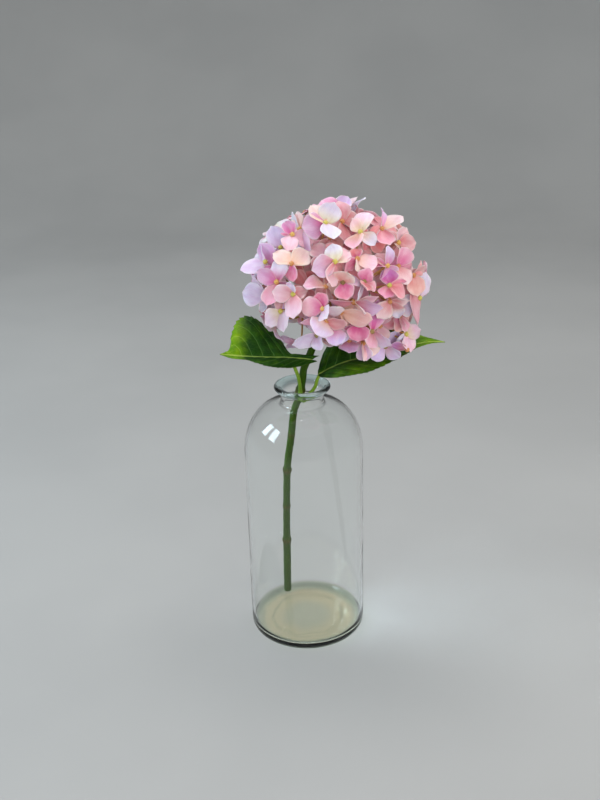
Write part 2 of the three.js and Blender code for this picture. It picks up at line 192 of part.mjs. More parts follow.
    [65.1,5.3,298,.503,.498,-.707,"y",[[77.6,6.2,312.9,.64,.517,-.569,16.9,2,-.3,"Kr"],[74.1,-12.6,295.5,.567,.384,-.729,19.6,.7,1.3,"Kr"],[50.9,-.9,286.5,.425,.465,-.776,19.2,1.6,1.8,"Kc"],[58.9,22.8,300.8,.577,.323,-.75,19.6,.7,-.8,"Kc"]]],
    [37.5,-15.5,298.8,-.312,-.132,-.941,"o",[[49.1,-30,303.5,-.127,-.393,-.911,18.2,.2,1.3,"Pr"],[23.3,-26.3,309,-.446,-.232,-.865,17.7,1.3,1.7,"Pm"],[25.8,.9,298.1,-.249,-.223,-.942,18.7,.3,.9,"Pr"],[55.4,-4.8,296.3,-.128,-.02,-.992,20.2,1.4,1.5,"Pm"]]]
  ]],
  [5, [
    [82.5,-41.4,328.2,.766,-.642,.032,"o",[[80.9,-50.5,317.2,.56,-.675,.48,13.7,-.1,1.9,"Dm"],[89.1,-44.6,315.8,.734,-.455,.505,13.8,.8,.2,"Kr"],[72.2,-26.1,323.9,-.428,-.492,-.758,16.6,1,1,"Dm"],[92.9,-28.9,324.3,.737,-.66,-.143,18.1,1,1,"Dm"]]],
    [66.3,-42.6,320.5,.421,-.875,-.24,"o",[[50.2,-45.4,318.6,.197,-.941,-.275,15.2,2.2,.7,"Er"],[68.1,-38.1,302.8,.416,-.891,-.182,17.2,1.9,1.8,"E0"],[81.7,-37.4,325.3,.38,-.889,-.253,15.2,.3,1,"R0"],[67,-50,335.2,.421,-.803,-.423,16.5,1.8,1.6,"D0"]]],
    [58.4,-37.1,313.9,.055,-.976,-.21,"o",[[64.1,-33.2,296,.052,-.979,-.199,17.3,.8,.7,"R0"],[74.8,-35.5,320.5,.163,-.972,-.168,17,2.3,2.3,"K0"],[51.4,-37.1,332.3,-.022,-1,-.007,16.4,.3,2.4,"Er"],[41.3,-38.5,304.3,.164,-.975,-.15,18.1,.8,1.9,"Kr"]]]
  ]],
  [6, [
    [86.2,12.9,385.3,.741,.138,.657,"g",[[97.4,5.2,372.5,.781,.112,.614,18.9,.9,2.5,"Pc"],[87.7,28.9,373.9,.775,.32,.545,17.9,1.1,1.9,"Cc"],[71.7,22.5,395.6,.65,.205,.732,16.9,.4,.2,"P0"],[81,-2.9,393.8,.734,.116,.669,18.9,2.4,1.2,"Pc"]]],
    [75.8,-3.6,376.7,.391,-.606,.692,"e",[[66.7,-13.4,366.8,.254,-.794,.552,14.8,.4,.3,"Kr"],[87.7,-4.4,365.8,.508,-.621,.597,15.4,.5,.6,"R0"],[83.6,10.6,382.9,.426,-.547,.721,14.6,.2,.2,"Er"],[61.6,-3.4,387.2,.467,-.61,.64,14.6,1.5,2.3,"Er"]]]
  ]],
  [6, [
    [105.2,5.8,344.4,.993,.078,-.089,"g",[[107.6,-12.2,339.3,.986,.152,-.069,17.5,2.1,2.3,"Pr"],[101,8.1,325.1,.975,.092,-.2,17.1,1.7,-.6,"Pc"],[104.3,22.9,349,.993,.072,-.091,16.3,.4,.9,"Py"],[107.4,4.5,362.5,.99,.081,-.118,17.8,1.5,.3,"Pr"]]],
    [90.5,-14.2,359.8,.955,-.191,.226,"y",[[90.1,-9.1,343,.992,-.111,-.058,18.8,1.5,.7,"Cm"],[97.6,3.7,362.9,.899,-.391,.197,17.4,.8,-.2,"Cr"],[86.7,-17.9,378.9,.971,-.178,.16,16.5,2.3,.6,"Cr"],[85.5,-31.3,355.4,.926,-.323,.195,16.2,.7,-0,"Pm"]]]
  ]],
  [6, [
    [82.1,-28.4,387.2,.671,-.498,.549,"g",[[97.2,-22.7,385.3,.366,-.811,.456,15.6,.3,.7,"Dr"],[88.9,-16.9,396.4,.731,-.633,.256,15.6,.2,2,"P0"],[82.2,-36.6,383.5,.673,-.302,.675,8.6,-.5,-.7,"Cc"],[69,-18.7,380.6,-.666,-.658,.351,17.7,1,1,"Dr"]]],
    [70.7,-13.8,393.3,.28,-.645,.711,"e",[[56,-19.8,388.3,.079,-.748,.66,15.2,.5,1.2,"Dm"],[80.6,-23.6,386,.127,-.506,.853,16.1,.6,.8,"E0"],[81.6,-2.4,393.4,.481,-.469,.741,15.9,1.6,1.7,"R0"],[63.1,-3.8,402.8,.224,-.575,.787,14.7,2,1.3,"R0"]]]
  ]],
  [6, [
    [88,-11.2,331.1,.8,.225,-.557,"o",[[99.3,-26.8,338.1,.756,.289,-.587,17.4,2.2,1.8,"Py"],[81.3,-22.8,315.8,.809,.242,-.535,18.3,2.1,0,"Pc"],[77.5,3.1,321.2,.81,.212,-.547,19.3,2.2,2.2,"P0"],[92.2,.9,346.3,.831,.3,-.469,18,1.8,-1,"Pm"]]],
    [75.6,-30.6,343.8,.689,-.689,.227,"g",[[82.7,-31.3,327,.657,-.688,.308,15.4,2.2,.2,"D0"],[87.1,-20.5,351.6,.589,-.793,.157,15.7,.6,1.5,"R0"],[66.6,-30.9,359.4,.627,-.697,.349,17,.6,1.7,"D0"],[66.4,-42.5,337.4,.703,-.67,.237,15,.5,1,"D0"]]]
  ]],
  [6, [
    [98.9,-41.8,343.6,.766,-.628,.137,"y",[[105.6,-33.2,363.6,.55,-.819,.166,17.5,1,-.4,"L0"],[93.4,-36.5,353.3,.604,-.511,.612,11.9,.6,2.1,"Kr"],[85,-30.2,337.3,-.481,-.786,-.389,16.2,1,1,"L0"],[92.7,-25.1,348.2,.346,-.13,.929,17,1,1,"L0"]]],
    [93.2,-44.8,364.4,.766,-.643,-.024,"o",[[100.9,-36.4,373.6,.79,-.602,-.116,14.1,1.7,2,"Er"],[104.9,-38.7,368.2,.523,-.709,-.473,13.2,-.5,.4,"Dr"],[97.5,-49,347.6,.382,-.867,.32,18.3,1,1,"Er"],[80.8,-30.7,359.4,-.768,-.628,.125,16.6,1,1,"Er"]]],
    [92.6,-43.7,356.4,.807,-.57,.154,"g",[[95.1,-53.3,324,.8,-.556,.225,17.5,.2,1.6,"Dr"],[89,-26.7,357.7,.59,.065,.805,16.2,1,1,"Dr"],[77.9,-46.2,349.1,.125,-.989,.084,17.4,1,1,"Dr"],[100.2,-29.6,361.1,.732,-.534,.423,17.4,1,1,"Dr"]]]
  ]],
  [7, [
    [6,-57.9,360.5,-.505,-.856,.114,"o",[[-1.8,-51.1,373.8,-.635,-.772,.025,16.2,.4,2,"Rr"],[9.6,-46,346.1,-.073,-.76,-.646,17.5,1,1,"Rr"],[-10.7,-57.8,349.4,-.176,-.949,.26,16.3,1,1,"Rr"],[18.3,-45.5,367.6,.309,-.688,.656,18.2,1,1,"Rr"]]],
    [22.4,-51.5,382.7,.13,-.7,.703,"o",[[34.2,-57.4,372.3,.2,-.738,.644,16.3,.8,.4,"Er"],[32,-40.9,391.1,.137,-.692,.709,14.9,.9,-.4,"Rr"],[9.9,-42.5,389.8,.004,-.619,.786,16,1.4,-.7,"D0"],[11.5,-64.2,376.4,.236,-.589,.773,14.7,.6,2.2,"Dm"]]]
  ]],
  [7, [
    [-5.7,-57.8,380,-.349,-.774,.528,"o",[[-19.9,-52.9,388.9,.321,-.518,.793,16.8,-.1,1.2,"Cc"],[-4.4,-62.4,366.7,-.634,-.747,.2,13.5,.7,.4,"Hm"],[7.3,-46.7,385.5,.252,-.653,.714,17.4,1,1,"Cc"],[-14,-45.6,370.6,-.821,-.571,-.007,17.1,1,1,"Cc"]]],
    [-0,-47.9,378.7,-.42,-.604,.677,"o",[[10.7,-44.1,384.9,-.341,-.414,.844,12.4,1,-.9,"Rr"],[-2.2,-40.8,363.4,-.464,-.827,-.316,16.4,1,1,"Rr"],[-14.2,-44.8,386.8,-.042,-.954,.297,15.9,1,1,"Rr"],[3,-30.9,379.5,-.193,-.013,.981,15.7,1,1,"Rr"]]]
  ]],
  [7, [
    [-18.2,-58.4,365.5,-.583,-.771,.257,"g",[[-34.6,-53.8,373.8,-.336,-.93,-.147,17.5,-.3,1,"Vm"],[-14.1,-50.6,381.1,-.585,-.654,.479,17.2,1,-.9,"Wm"],[-26,-65.1,347.6,-.584,-.645,.492,17.5,-.2,2.7,"Kr"],[-10.3,-47.7,355.7,.259,-.748,-.611,16.1,1,1,"Vm"]]],
    [-5.1,-70.5,358.8,-.417,-.899,.134,"y",[[-21.7,-71.7,361.3,.047,-.988,-.146,16.2,.1,2.5,"Pr"],[-6,-70.1,369.9,-.743,-.669,-.035,10.7,1.4,.7,"L0"],[5.4,-70.6,361.1,-.07,-.956,.284,11.2,.5,1.9,"Dr"],[-5.1,-81.1,341.8,-.608,-.673,.421,17.5,1.9,-.7,"Pr"]]]
  ]],
  [7, [
    [-28,-45.5,349,-.726,-.686,.051,"y",[[-47.7,-42.8,353,-.066,-.944,.323,19.6,.4,1,"L0"],[-39.4,-30.9,362.9,-.842,-.519,-.148,17.1,1.1,.1,"V0"],[-30.1,-46.6,336.4,-.806,-.563,.182,12.3,-.2,2.2,"L0"],[-15.3,-31.9,345.1,.708,-.696,-.125,15.8,1,1,"L0"]]],
    [-15.6,-64.4,342.8,-.513,-.855,.075,"y",[[-29.2,-71.3,334.4,.435,-.9,.038,16.7,-.2,.4,"Wy"],[-13.6,-73.8,328.5,-.678,-.656,.333,16.6,.7,-.7,"W0"],[-17.9,-57.1,349.8,-.76,-.557,.336,10,-.5,-.1,"Dr"],[-6.9,-49.2,333.6,.241,-.6,-.763,17.6,1,1,"Wy"]]]
  ]],
  [7, [
    [-14.4,-36.5,387.7,-.39,-.735,.554,"y",[[-22.2,-28.5,403.8,-.059,-.905,.42,17.7,1.5,1.2,"W0"],[-7.5,-25.5,375.5,.13,-.771,-.624,15.7,1,1,"W0"],[1.9,-35.2,392.6,-.101,-.821,.562,17.9,1,1,"W0"],[-22.7,-19.4,383.2,-.851,-.298,.433,18.1,1,1,"W0"]]],
    [-4.7,-38.1,398.7,-.234,-.579,.781,"g",[[-9.4,-50.5,390,.066,-.586,.808,15.2,.9,-.1,"P0"],[-11.4,-32.7,408.7,.097,-.849,.52,12.6,1.5,2.5,"Mm"],[-14.1,-32.8,400.9,-.001,-.391,.92,10.5,-.3,.9,"Hm"],[12.8,-32.2,391.5,.435,-.807,.399,16.2,1,1,"P0"]]]
  ]],
  [7, [
    [-27.1,-39.8,377.1,-.673,-.594,.441,"y",[[-49,-41.1,371.7,-.15,-.632,.76,17.5,-.4,-.5,"L0"],[-33.1,-29,387,-.843,-.534,.065,15.2,1.9,1.5,"W0"],[-15.6,-28.5,367.6,.531,-.793,-.3,16.2,1,1,"L0"],[-34.4,-35.8,359.7,-.578,-.814,.061,17.7,1,1,"L0"]]],
    [-18.9,-41.8,374.9,-.619,-.741,.263,"o",[[-30.8,-33.8,391.2,-.486,-.871,.075,17.5,1.1,1,"Vm"],[-9.1,-27.2,367.5,.812,-.58,-.066,16.2,1,1,"Vm"],[-30.1,-48.9,361.1,-.223,-.782,.582,16.2,1,1,"Vm"],[-4.9,-35.4,387.1,-.155,-.79,.594,18.2,1,1,"Vm"]]]
  ]],
  [7, [
    [-22.5,-11.8,376,-.857,.174,.485,"o",[[-19.3,3.3,363.2,-.85,.435,.298,20.2,.7,.2,"Lm"],[-29.8,-20.6,357.4,-.941,.097,.324,19.6,1.4,.5,"Wm"],[-16.8,-30,381.9,-.81,-.067,.582,20.4,1.1,1.1,"Lm"],[-9.4,-1.2,389.4,-.783,.242,.573,18.8,2.4,.7,"Lr"]]],
    [10.4,-30.8,378.6,-.301,-.752,.587,"o",[[1,-17.1,384.9,-.424,-.601,.678,18.1,1.3,1.2,"V0"],[-1.9,-37.2,366.8,-.244,-.725,.644,16.6,.3,1.5,"Dm"],[22.8,-42.9,372.6,-.371,-.689,.623,17.7,2.2,.5,"Dm"],[25.2,-23.9,389.8,-.188,-.707,.681,16.5,1.5,-.3,"Kr"]]]
  ]],
  [7, [
    [-14,-18.9,341.1,-.699,-.715,.02,"e",[[-26.5,-9.3,342.1,-.608,-.794,.013,16.7,1.2,.3,"Dr"],[-16.2,-18.3,324.2,-.694,-.717,.064,16.8,.3,.1,"Vr"],[-3.9,-31.7,337.9,-.778,-.627,.044,16.6,1.5,.4,"Rr"],[-13.2,-21.8,358,-.708,-.702,-.082,15.5,1.6,1.6,"Dr"]]]
  ]],
  [8, [
    [58.1,39.3,393.9,.355,.436,.827,"o",[[40.2,27.3,401,.161,.313,.936,20,2.3,2.4,"Pc"],[69.5,22.6,396.6,.383,.396,.834,19,.8,1.1,"Pm"],[70,45.1,378,.557,.549,.623,19.7,1.5,1.2,"P0"],[48.8,56.1,388.1,.339,.466,.817,20.2,.2,-.7,"Pm"]]],
    [65.9,60.5,371.6,.679,.729,.086,"y",[[53.8,76.1,368.6,.775,.623,.109,18.4,1,.7,"Em"],[61.1,63.3,390.2,.684,.726,.067,17.8,.9,.7,"Ey"],[80.2,47.1,375.1,.67,.737,.084,17.7,1.3,2,"Km"],[71.7,57.4,354.1,.676,.731,.095,18.3,.8,.2,"Ec"]]],
    [34.3,57,390.9,.063,.797,.601,"o",[[53.5,54.6,396.6,-.064,.82,.568,16.4,1.6,.3,"Pc"],[37.8,65.5,373.3,.097,.889,.447,17,1.7,.9,"Em"],[16.1,63,388.9,.183,.764,.619,17.2,1.4,1.4,"Cy"],[29.7,48.2,407.1,.094,.863,.497,16.5,.2,1.4,"Cr"]]]
  ]],
  [8, [
    [86.6,49.1,354.5,.901,.433,-.016,"o",[[92.3,31.1,353.1,.953,.302,-.027,19,2.3,2.4,"Er"],[83.4,48.4,333.9,.888,.433,-.154,18.3,2.3,1.1,"Cy"],[78.3,67.7,355.3,.912,.411,-.017,19.3,2.3,1.2,"Dc"],[90.4,47.6,374,.885,.445,-.139,19.1,2.3,.9,"Cm"]]],
    [65,60.4,346.4,.646,.749,-.148,"y",[[59,64.2,362.7,.591,.806,.032,17.2,.4,1.4,"Cc"],[80.6,54.1,351.3,.427,.875,-.229,16.5,2,-.7,"Cc"],[63.8,51.7,330.4,.652,.643,-.401,16.2,.3,.8,"Cr"],[50.1,70.3,338.4,.608,.776,-.169,17.8,2.1,.2,"Cm"]]]
  ]],
  [8, [
    [75.9,34,308.3,.325,.38,-.866,"o",[[74.1,15.6,305.9,.31,.097,-.946,17.7,1.3,.1,"Dr"],[57.6,38.1,306.7,.175,.419,-.891,18.1,.3,-.3,"R0"],[74,48.6,320.3,.309,.628,-.714,18.8,.3,1.3,"Dc"],[90.8,28.3,315.8,.52,.318,-.793,16.4,2.3,1,"Em"]]],
    [76,52.5,326.8,.618,.71,-.339,"o",[[61.2,63.3,317.6,.68,.668,-.303,17.3,2.1,-0,"Cm"],[71.4,62.4,341.6,.607,.734,-.304,18.9,.3,-.6,"Cc"],[91.6,45.8,333.4,.496,.772,-.397,17.8,1.8,-.2,"Kc"],[80,46.6,309.9,.583,.8,-.139,17,1.4,.1,"Cm"]]],
    [96.6,30.2,334.1,.973,.196,-.12,"o",[[97.9,12.6,336.3,.992,.066,-.105,17.4,1.4,2,"Rm"],[93.3,30,314.6,.967,.196,-.165,19.2,1.2,1.4,"Rr"],[94,48.3,336.1,.981,.149,-.125,17.5,.6,.2,"Km"],[97.5,28.3,351.7,.982,.188,-.034,18.3,2.3,-.6,"Rm"]]]
  ]],
  [8, [
    [88.1,22.4,358.8,.91,.369,.188,"y",[[79.2,40.3,358.4,.879,.439,.187,19,2.4,-.7,"Rr"],[81.8,19.1,377.3,.869,.346,.354,18.2,1.7,-.9,"Km"],[95.9,6.8,356.1,.889,.414,.196,17.5,1.6,.2,"Ry"],[92.1,25,341.4,.896,.359,.261,18.3,.6,2,"Dc"]]],
    [85.7,37.7,379.1,.851,.298,.433,"g",[[86.4,24.3,390.4,.85,.367,.378,18.1,2.1,.3,"Ey"],[96.2,27.4,366,.846,.303,.439,17.3,.6,1.9,"Pm"],[83.6,51.2,366.9,.843,.427,.326,18.8,1.2,1.2,"E0"],[74.4,47.7,388.7,.772,.378,.511,17,.8,2.4,"Ec"]]]
  ]]
];

// ---- helpers ------------------------------------------------------------
const V = (a) => new THREE.Vector3(a[0], a[1], a[2]);
const mix = (a, b, t) => a.clone().lerp(b, t);

// A closed three.js geometry as a solid.
function solid(geometry) {
  const g = geometry.index ? geometry.toNonIndexed() : geometry.clone();
  for (const name of Object.keys(g.attributes))
    if (name !== "position") g.deleteAttribute(name);
  const m = mergeVertices(g, 1e-3);
  const index = Array.from(m.index.array);
  const tri = [];
  for (let i = 0; i < index.length; i += 3)
    if (
      index[i] !== index[i + 1] &&
      index[i + 1] !== index[i + 2] &&
      index[i] !== index[i + 2]
    )
      tri.push(index[i], index[i + 1], index[i + 2]);
  const build = (triangles) =>
    new wasm.Manifold(
      new wasm.Mesh({
        numProp: 3,
        vertProperties: new Float32Array(m.attributes.position.array),
        triVerts: new Uint32Array(triangles),
      }),
    );
  const made = build(tri);
  if (made.volume() >= 0) return made;
  for (let i = 0; i < tri.length; i += 3)
    [tri[i + 1], tri[i + 2]] = [tri[i + 2], tri[i + 1]];
  return build(tri);
}

function geometryOf(s) {
  const m = s.getMesh();
  const v = new Float32Array(m.numVert * 3);
  for (let i = 0; i < m.numVert; i++)
    v.set(m.vertProperties.subarray(i * m.numProp, i * m.numProp + 3), i * 3);
  const g = new THREE.BufferGeometry();
  g.setAttribute("position", new THREE.BufferAttribute(v, 3));
  g.setIndex(new THREE.BufferAttribute(new Uint32Array(m.triVerts), 1));
  g.computeVertexNormals();
  return g;
}

// A round rod along a smooth curve through the points.
function rod(points, radius, sides, steps) {
  const outline = new THREE.Shape();
  for (let i = 0; i < sides; i++) {
    const a = (i / sides) * Math.PI * 2;
    const x = radius * Math.cos(a),
      y = radius * Math.sin(a);
    if (i) outline.lineTo(x, y);
    else outline.moveTo(x, y);
  }
  outline.closePath();
  const path =
    points.length === 2
      ? new THREE.LineCurve3(points[0], points[1])
      : new THREE.CatmullRomCurve3(points, false, "centripetal");
  return solid(
    new THREE.ExtrudeGeometry(outline, {
      steps,
      bevelEnabled: false,
      extrudePath: path,
      curveSegments: 1,
    }),
  );
}

const ball = (centre, radius, detail = 0) =>
  solid(
    (detail
      ? new THREE.IcosahedronGeometry(radius, detail - 1)
      : new THREE.OctahedronGeometry(radius, 0)
    ).translate(centre.x, centre.y, centre.z),
  );

// A closed plate between two sheets of a grid of points, thickness apart.
function plate(rows, thickness) {
  const n = rows.length,
    m = rows[0].length;
  const at = (i, j) =>
    rows[Math.max(0, Math.min(n - 1, i))][Math.max(0, Math.min(m - 1, j))];
  const top = [],
    low = [];
  for (let i = 0; i < n; i++)
    for (let j = 0; j < m; j++) {
      const du = at(i + 1, j).clone().sub(at(i - 1, j));
      const dv = at(i, j + 1).clone().sub(at(i, j - 1));
      const nn = du.cross(dv).normalize().multiplyScalar(thickness / 2);
      top.push(at(i, j).clone().add(nn));
      low.push(at(i, j).clone().sub(nn));
    }
  const pts = [...top, ...low],
    k = n * m,
    tri = [];
  const id = (i, j) => i * m + j;
  for (let i = 0; i + 1 < n; i++)
    for (let j = 0; j + 1 < m; j++) {
      const a = id(i, j),
        b = id(i + 1, j),
        c = id(i + 1, j + 1),
        d = id(i, j + 1);
      tri.push(a, b, c, a, c, d, k + a, k + c, k + b, k + a, k + d, k + c);
    }
  const wall = (p, q) => tri.push(p, k + p, k + q, p, k + q, q);
  for (let i = 0; i + 1 < n; i++) {
    wall(id(i, 0), id(i + 1, 0));
    wall(id(i + 1, m - 1), id(i, m - 1));
  }
  for (let j = 0; j + 1 < m; j++) {
    wall(id(0, j + 1), id(0, j));
    wall(id(n - 1, j), id(n - 1, j + 1));
  }
  const g = new THREE.BufferGeometry();
  g.setAttribute(
    "position",
    new THREE.Float32BufferAttribute(
      pts.flatMap((p) => [p.x, p.y, p.z]),
      3,
    ),
  );
  g.setIndex(tri);
  return solid(g);
}

// The eye of a floret and its straight pedicel down to the foot.
function core([cx, cy, cz, ax, ay, az], foot, grow) {
  const c = new THREE.Vector3(cx, cy, cz);
  const axis = new THREE.Vector3(ax, ay, az).normalize();
  const dir = c.clone().sub(foot).normalize();
  const e1 = new THREE.Vector3(0.2, 0.1, 1).cross(dir).normalize();
  const e2 = dir.clone().cross(e1);
  const pts = [],
    index = [];
  const ring = (centre, radius) =>
    [0, 1, 2, 3].map((i) => {
      const t = (i * Math.PI) / 2;
      pts.push(
        centre
          .clone()
          .addScaledVector(e1, Math.cos(t) * radius)
          .addScaledVector(e2, Math.sin(t) * radius),
      );
      return pts.length - 1;
    });
  const rings = [
    ring(foot, PEDICEL_RADIUS * 1.25 + grow),
    ring(c.clone().addScaledVector(dir, -3), PEDICEL_RADIUS * 1.25 + grow),
    ring(c, BEAD_RADIUS + grow),
  ];
  pts.push(c.clone().addScaledVector(axis, 1.9 + grow));
  const top = pts.length - 1;
  for (let k = 0; k < 2; k++)
    for (let i = 0; i < 4; i++) {
      const j = (i + 1) % 4;
      const [p, q, r, t] = [rings[k][i], rings[k][j], rings[k + 1][j], rings[k + 1][i]];
      index.push(p, q, r, p, r, t);
    }
  for (let i = 0; i < 4; i++) index.push(rings[2][i], rings[2][(i + 1) % 4], top);
  index.push(rings[0][0], rings[0][2], rings[0][1], rings[0][0], rings[0][3], rings[0][2]);
  return faceted(pts, index);
}

function faceted(pts, index) {
  const g = new THREE.BufferGeometry();
  g.setAttribute(
    "position",
    new THREE.Float32BufferAttribute(
      pts.flatMap((p) => [p.x, p.y, p.z]),
      3,
    ),
  );
  g.setIndex(index);
  return solid(g);
}

// One petal: a six-cornered plate from the eye to the tip, cupped and bellied.
function petal(c, lift, row, grow) {
  const along = V(row).sub(c);
  const length = along.length();
  along.normalize();
  const side = along.clone().cross(V(row.slice(3, 6))).normalize();
  const normal = side.clone().cross(along).normalize();
  const [, , , , , , width, belly, cup] = row;
  const half = PETAL_THICKNESS / 2 + grow;
  const up = [],
    down = [];
  for (const [u, v, w] of [
    [0.04, -1, 0.16],
    [0.5, -1, 0.97],
    [0.94, -1, 0.58],
    [0.94, 1, 0.58],
    [0.5, 1, 0.97],
    [0.04, 1, 0.16],
  ]) {
    const p = c
      .clone()
      .add(lift)
      .addScaledVector(along, length * u + (u > 0.9 ? grow : 0))
      .addScaledVector(side, v * ((width / 2) * w + grow))
      .addScaledVector(
        normal,
        belly * 4 * u * (1 - u) +
          cup * (v * v - 0.35) * Math.sin(Math.PI * Math.min(u, 1)),
      );
    up.push(p.clone().addScaledVector(normal, half));
    down.push(p.clone().addScaledVector(normal, -half));
  }
  const index = [];
  for (const [x, y, z] of [
    [0, 1, 4],
    [0, 4, 5],
    [1, 2, 3],
    [1, 3, 4],
  ])
    index.push(x, y, z, 6 + x, 6 + z, 6 + y);
  for (let k = 0; k < 6; k++) {
    const n = (k + 1) % 6;
    index.push(k, 6 + k, 6 + n, k, 6 + n, n);
  }
  return faceted([...up, ...down], index);
}

// A floret's petals; each opposite pair sits a little above or below the other.
function corolla([cx, cy, cz, ax, ay, az, , petals], grow) {
  const c = new THREE.Vector3(cx, cy, cz);
  const axis = new THREE.Vector3(ax, ay, az).normalize();
  const e1 = new THREE.Vector3(0.1, 0.2, 1).cross(axis).normalize();
  const e2 = axis.clone().cross(e1);
  return petals
    .map((row) => {
      const d = V(row).sub(c);
      return { row, turn: Math.atan2(d.dot(e2), d.dot(e1)) };
    })
    .sort((p, q) => p.turn - q.turn)
    .map(({ row }, i) =>
      petal(c, axis.clone().multiplyScalar(i % 2 ? PAIR_RISE : -PAIR_RISE), row, grow),
    )
    .reduce((s, p) => s.add(p));
}

// One floret: a small four-cornered eye with a petal growing from each side of it,
// narrowing below into its straight pedicel, all one closed surface.
function floret([cx, cy, cz, ax, ay, az, , petals], foot, grow) {
  const c = new THREE.Vector3(cx, cy, cz);
  const axis = new THREE.Vector3(ax, ay, az).normalize();
  const e1 = new THREE.Vector3(0, 0, 1).cross(axis).normalize();
  const e2 = axis.clone().cross(e1);
  const list = petals
    .map((row) => {
      const d = V(row).sub(c);
      return { row, length: d.length(), along: d.normalize() };
    })
    .map((p) => ({ ...p, turn: Math.atan2(p.along.dot(e2), p.along.dot(e1)) }))
    .sort((p, q) => p.turn - q.turn);
  const n = list.length;
  // the corner of the eye between one petal and the next
  const corner = list.map((p, i) => {
    const q = list[(i + 1) % n];
    let span = q.turn - p.turn;
    if (span <= 0) span += Math.PI * 2;
    const m = p.turn + span / 2;
    return e1
      .clone()
      .multiplyScalar(Math.cos(m))
      .addScaledVector(e2, Math.sin(m))
      .multiplyScalar(BEAD_RADIUS + grow);
  });
  const up = [],
    down = [],
    tri = [];
  const half = PETAL_THICKNESS / 2 + grow;
  const push = (p, normal) => {
    up.push(c.clone().add(p).addScaledVector(normal, half));
    down.push(c.clone().add(p).addScaledVector(normal, -half));
    return up.length - 1;
  };
  const cornerId = corner.map((p) => push(p, axis));
  list.forEach((p, i) => {
    const normal = V(p.row.slice(3, 6)).normalize();
    const side = p.along.clone().cross(normal).normalize();
    const before = (i + n - 1) % n;
    // the side vector must lead from the corner before to the corner after
    if (side.dot(corner[i].clone().sub(corner[before])) < 0) side.negate();
    const room = (q) =>
      Math.tan(Math.min(1.3, p.along.angleTo(q.along) / 2)) * 0.9;
    const roomBefore = room(list[before]),
      roomAfter = room(list[(i + 1) % n]);
    const [, , , , , , width, belly, cup] = p.row;
    const at = (u, v, w) => {
      const r = v < 0 ? roomBefore : roomAfter;
      const h = Math.min((width / 2) * w, p.length * u * r) + grow;
      return p.along
        .clone()
        .multiplyScalar(p.length * u + (u > 0.9 ? grow : 0))
        .addScaledVector(side, h * v)
        .addScaledVector(
          normal,
          belly * 4 * u * (1 - u) +
            cup * (v * v - 0.35) * Math.sin(Math.PI * Math.min(u, 1)),
        );
    };
    const facing = normal.dot(axis) < 0 ? normal.clone().negate() : normal;
    const ml = push(at(0.55, -1, 0.92), facing),
      tl = push(at(0.95, -1, 0.52), facing),
      tr = push(at(0.95, 1, 0.52), facing),
      mr = push(at(0.55, 1, 0.92), facing);
    const loop = [cornerId[before], ml, tl, tr, mr, cornerId[i]];
    // the upper sheet, wound so that its faces look along the axis
    for (const [x, y, z] of [
      [0, 1, 4],
      [0, 4, 5],
      [1, 2, 3],
      [1, 3, 4],
    ])
      tri.push([loop[x], loop[y], loop[z], "u"], [loop[x], loop[z], loop[y], "d"]);
    for (let k = 0; k < 5; k++) tri.push([loop[k], loop[k + 1], 0, "w"]);
  });
  const N = up.length;
  const index = [];
  for (const [x, y, z, kind] of tri) {
    if (kind === "u") index.push(x, y, z);
    else if (kind === "d") index.push(N + x, N + y, N + z);
    else index.push(x, N + x, N + y, x, N + y, y);
  }
  // eye: four facets to a low point above; below, the pedicel's square root
  const pts = [...up, ...down];
  pts.push(c.clone().addScaledVector(axis, 1.7 + grow));
  const top = pts.length - 1;
  const dir = c.clone().sub(foot).normalize();
  const rootAt = c.clone().addScaledVector(axis, -2.2 - grow);
  const ringAt = (centre, radius) =>
    corner.map((q) => {
      const v = q.clone().addScaledVector(dir, -q.dot(dir)).normalize();
      pts.push(centre.clone().addScaledVector(v, radius));
      return pts.length - 1;
    });
  const root = ringAt(rootAt, PEDICEL_RADIUS * 1.2 + grow);
  const end = ringAt(foot, PEDICEL_RADIUS * 1.2 + grow);
  for (let i = 0; i < n; i++) {
    const j = (i + 1) % n;
    index.push(cornerId[i], cornerId[j], top);
    index.push(N + cornerId[j], N + cornerId[i], root[i], N + cornerId[j], root[i], root[j]);
    index.push(root[j], root[i], end[i], root[j], end[i], end[j]);
  }
  for (let i = 1; i + 1 < n; i++) index.push(end[0], end[i + 1], end[i]);
  const g = new THREE.BufferGeometry();
  g.setAttribute(
    "position",
    new THREE.Float32BufferAttribute(
      pts.flatMap((p) => [p.x, p.y, p.z]),
      3,
    ),
  );
  g.setIndex(index);
  return solid(g);
}

// Where a sprig's pedicels leave: the first runs on from the stalk, the others branch.
function feet(ray, florets, grow) {
  const knob = V(RAY_TIPS[ray]);
  const backs = florets.map((f) =>
    V(f).addScaledVector(V(f.slice(3, 6)).normalize(), -9),
  );
  const mean = backs
    .reduce((s, p) => s.add(p), new THREE.Vector3())
    .multiplyScalar(1 / backs.length);
  const out = mean.clone().sub(knob).normalize();
  const start = knob
    .clone()
    .addScaledVector(out, RAY_KNOB_RADIUS + GAP + (grow ? 0 : 0.4));
  const fork = mix(start, V(florets[0]), 0.36);
  return florets.map((_, i) => (i ? fork : start));
}
const stalks = (ray, florets, grow) => {
  const foot = feet(ray, florets, grow);
  return florets.map((f, i) => core(f, foot[i], grow)).reduce((s, p) => s.add(p));
};
// All the florets of a sprig with their pedicels. Where the petals of a floret cross
// one another, it is joined petal by petal.
const flowers = (ray, florets, grow, n) => {
  const foot = feet(ray, florets, grow);
  return florets
    .map((f, i) =>
      CROSSED.has(n + "/" + i)
        ? core(f, foot[i], grow).add(corolla(f, grow))
        : floret(f, foot[i], grow),
    )
    .reduce((s, p) => s.add(p));
};

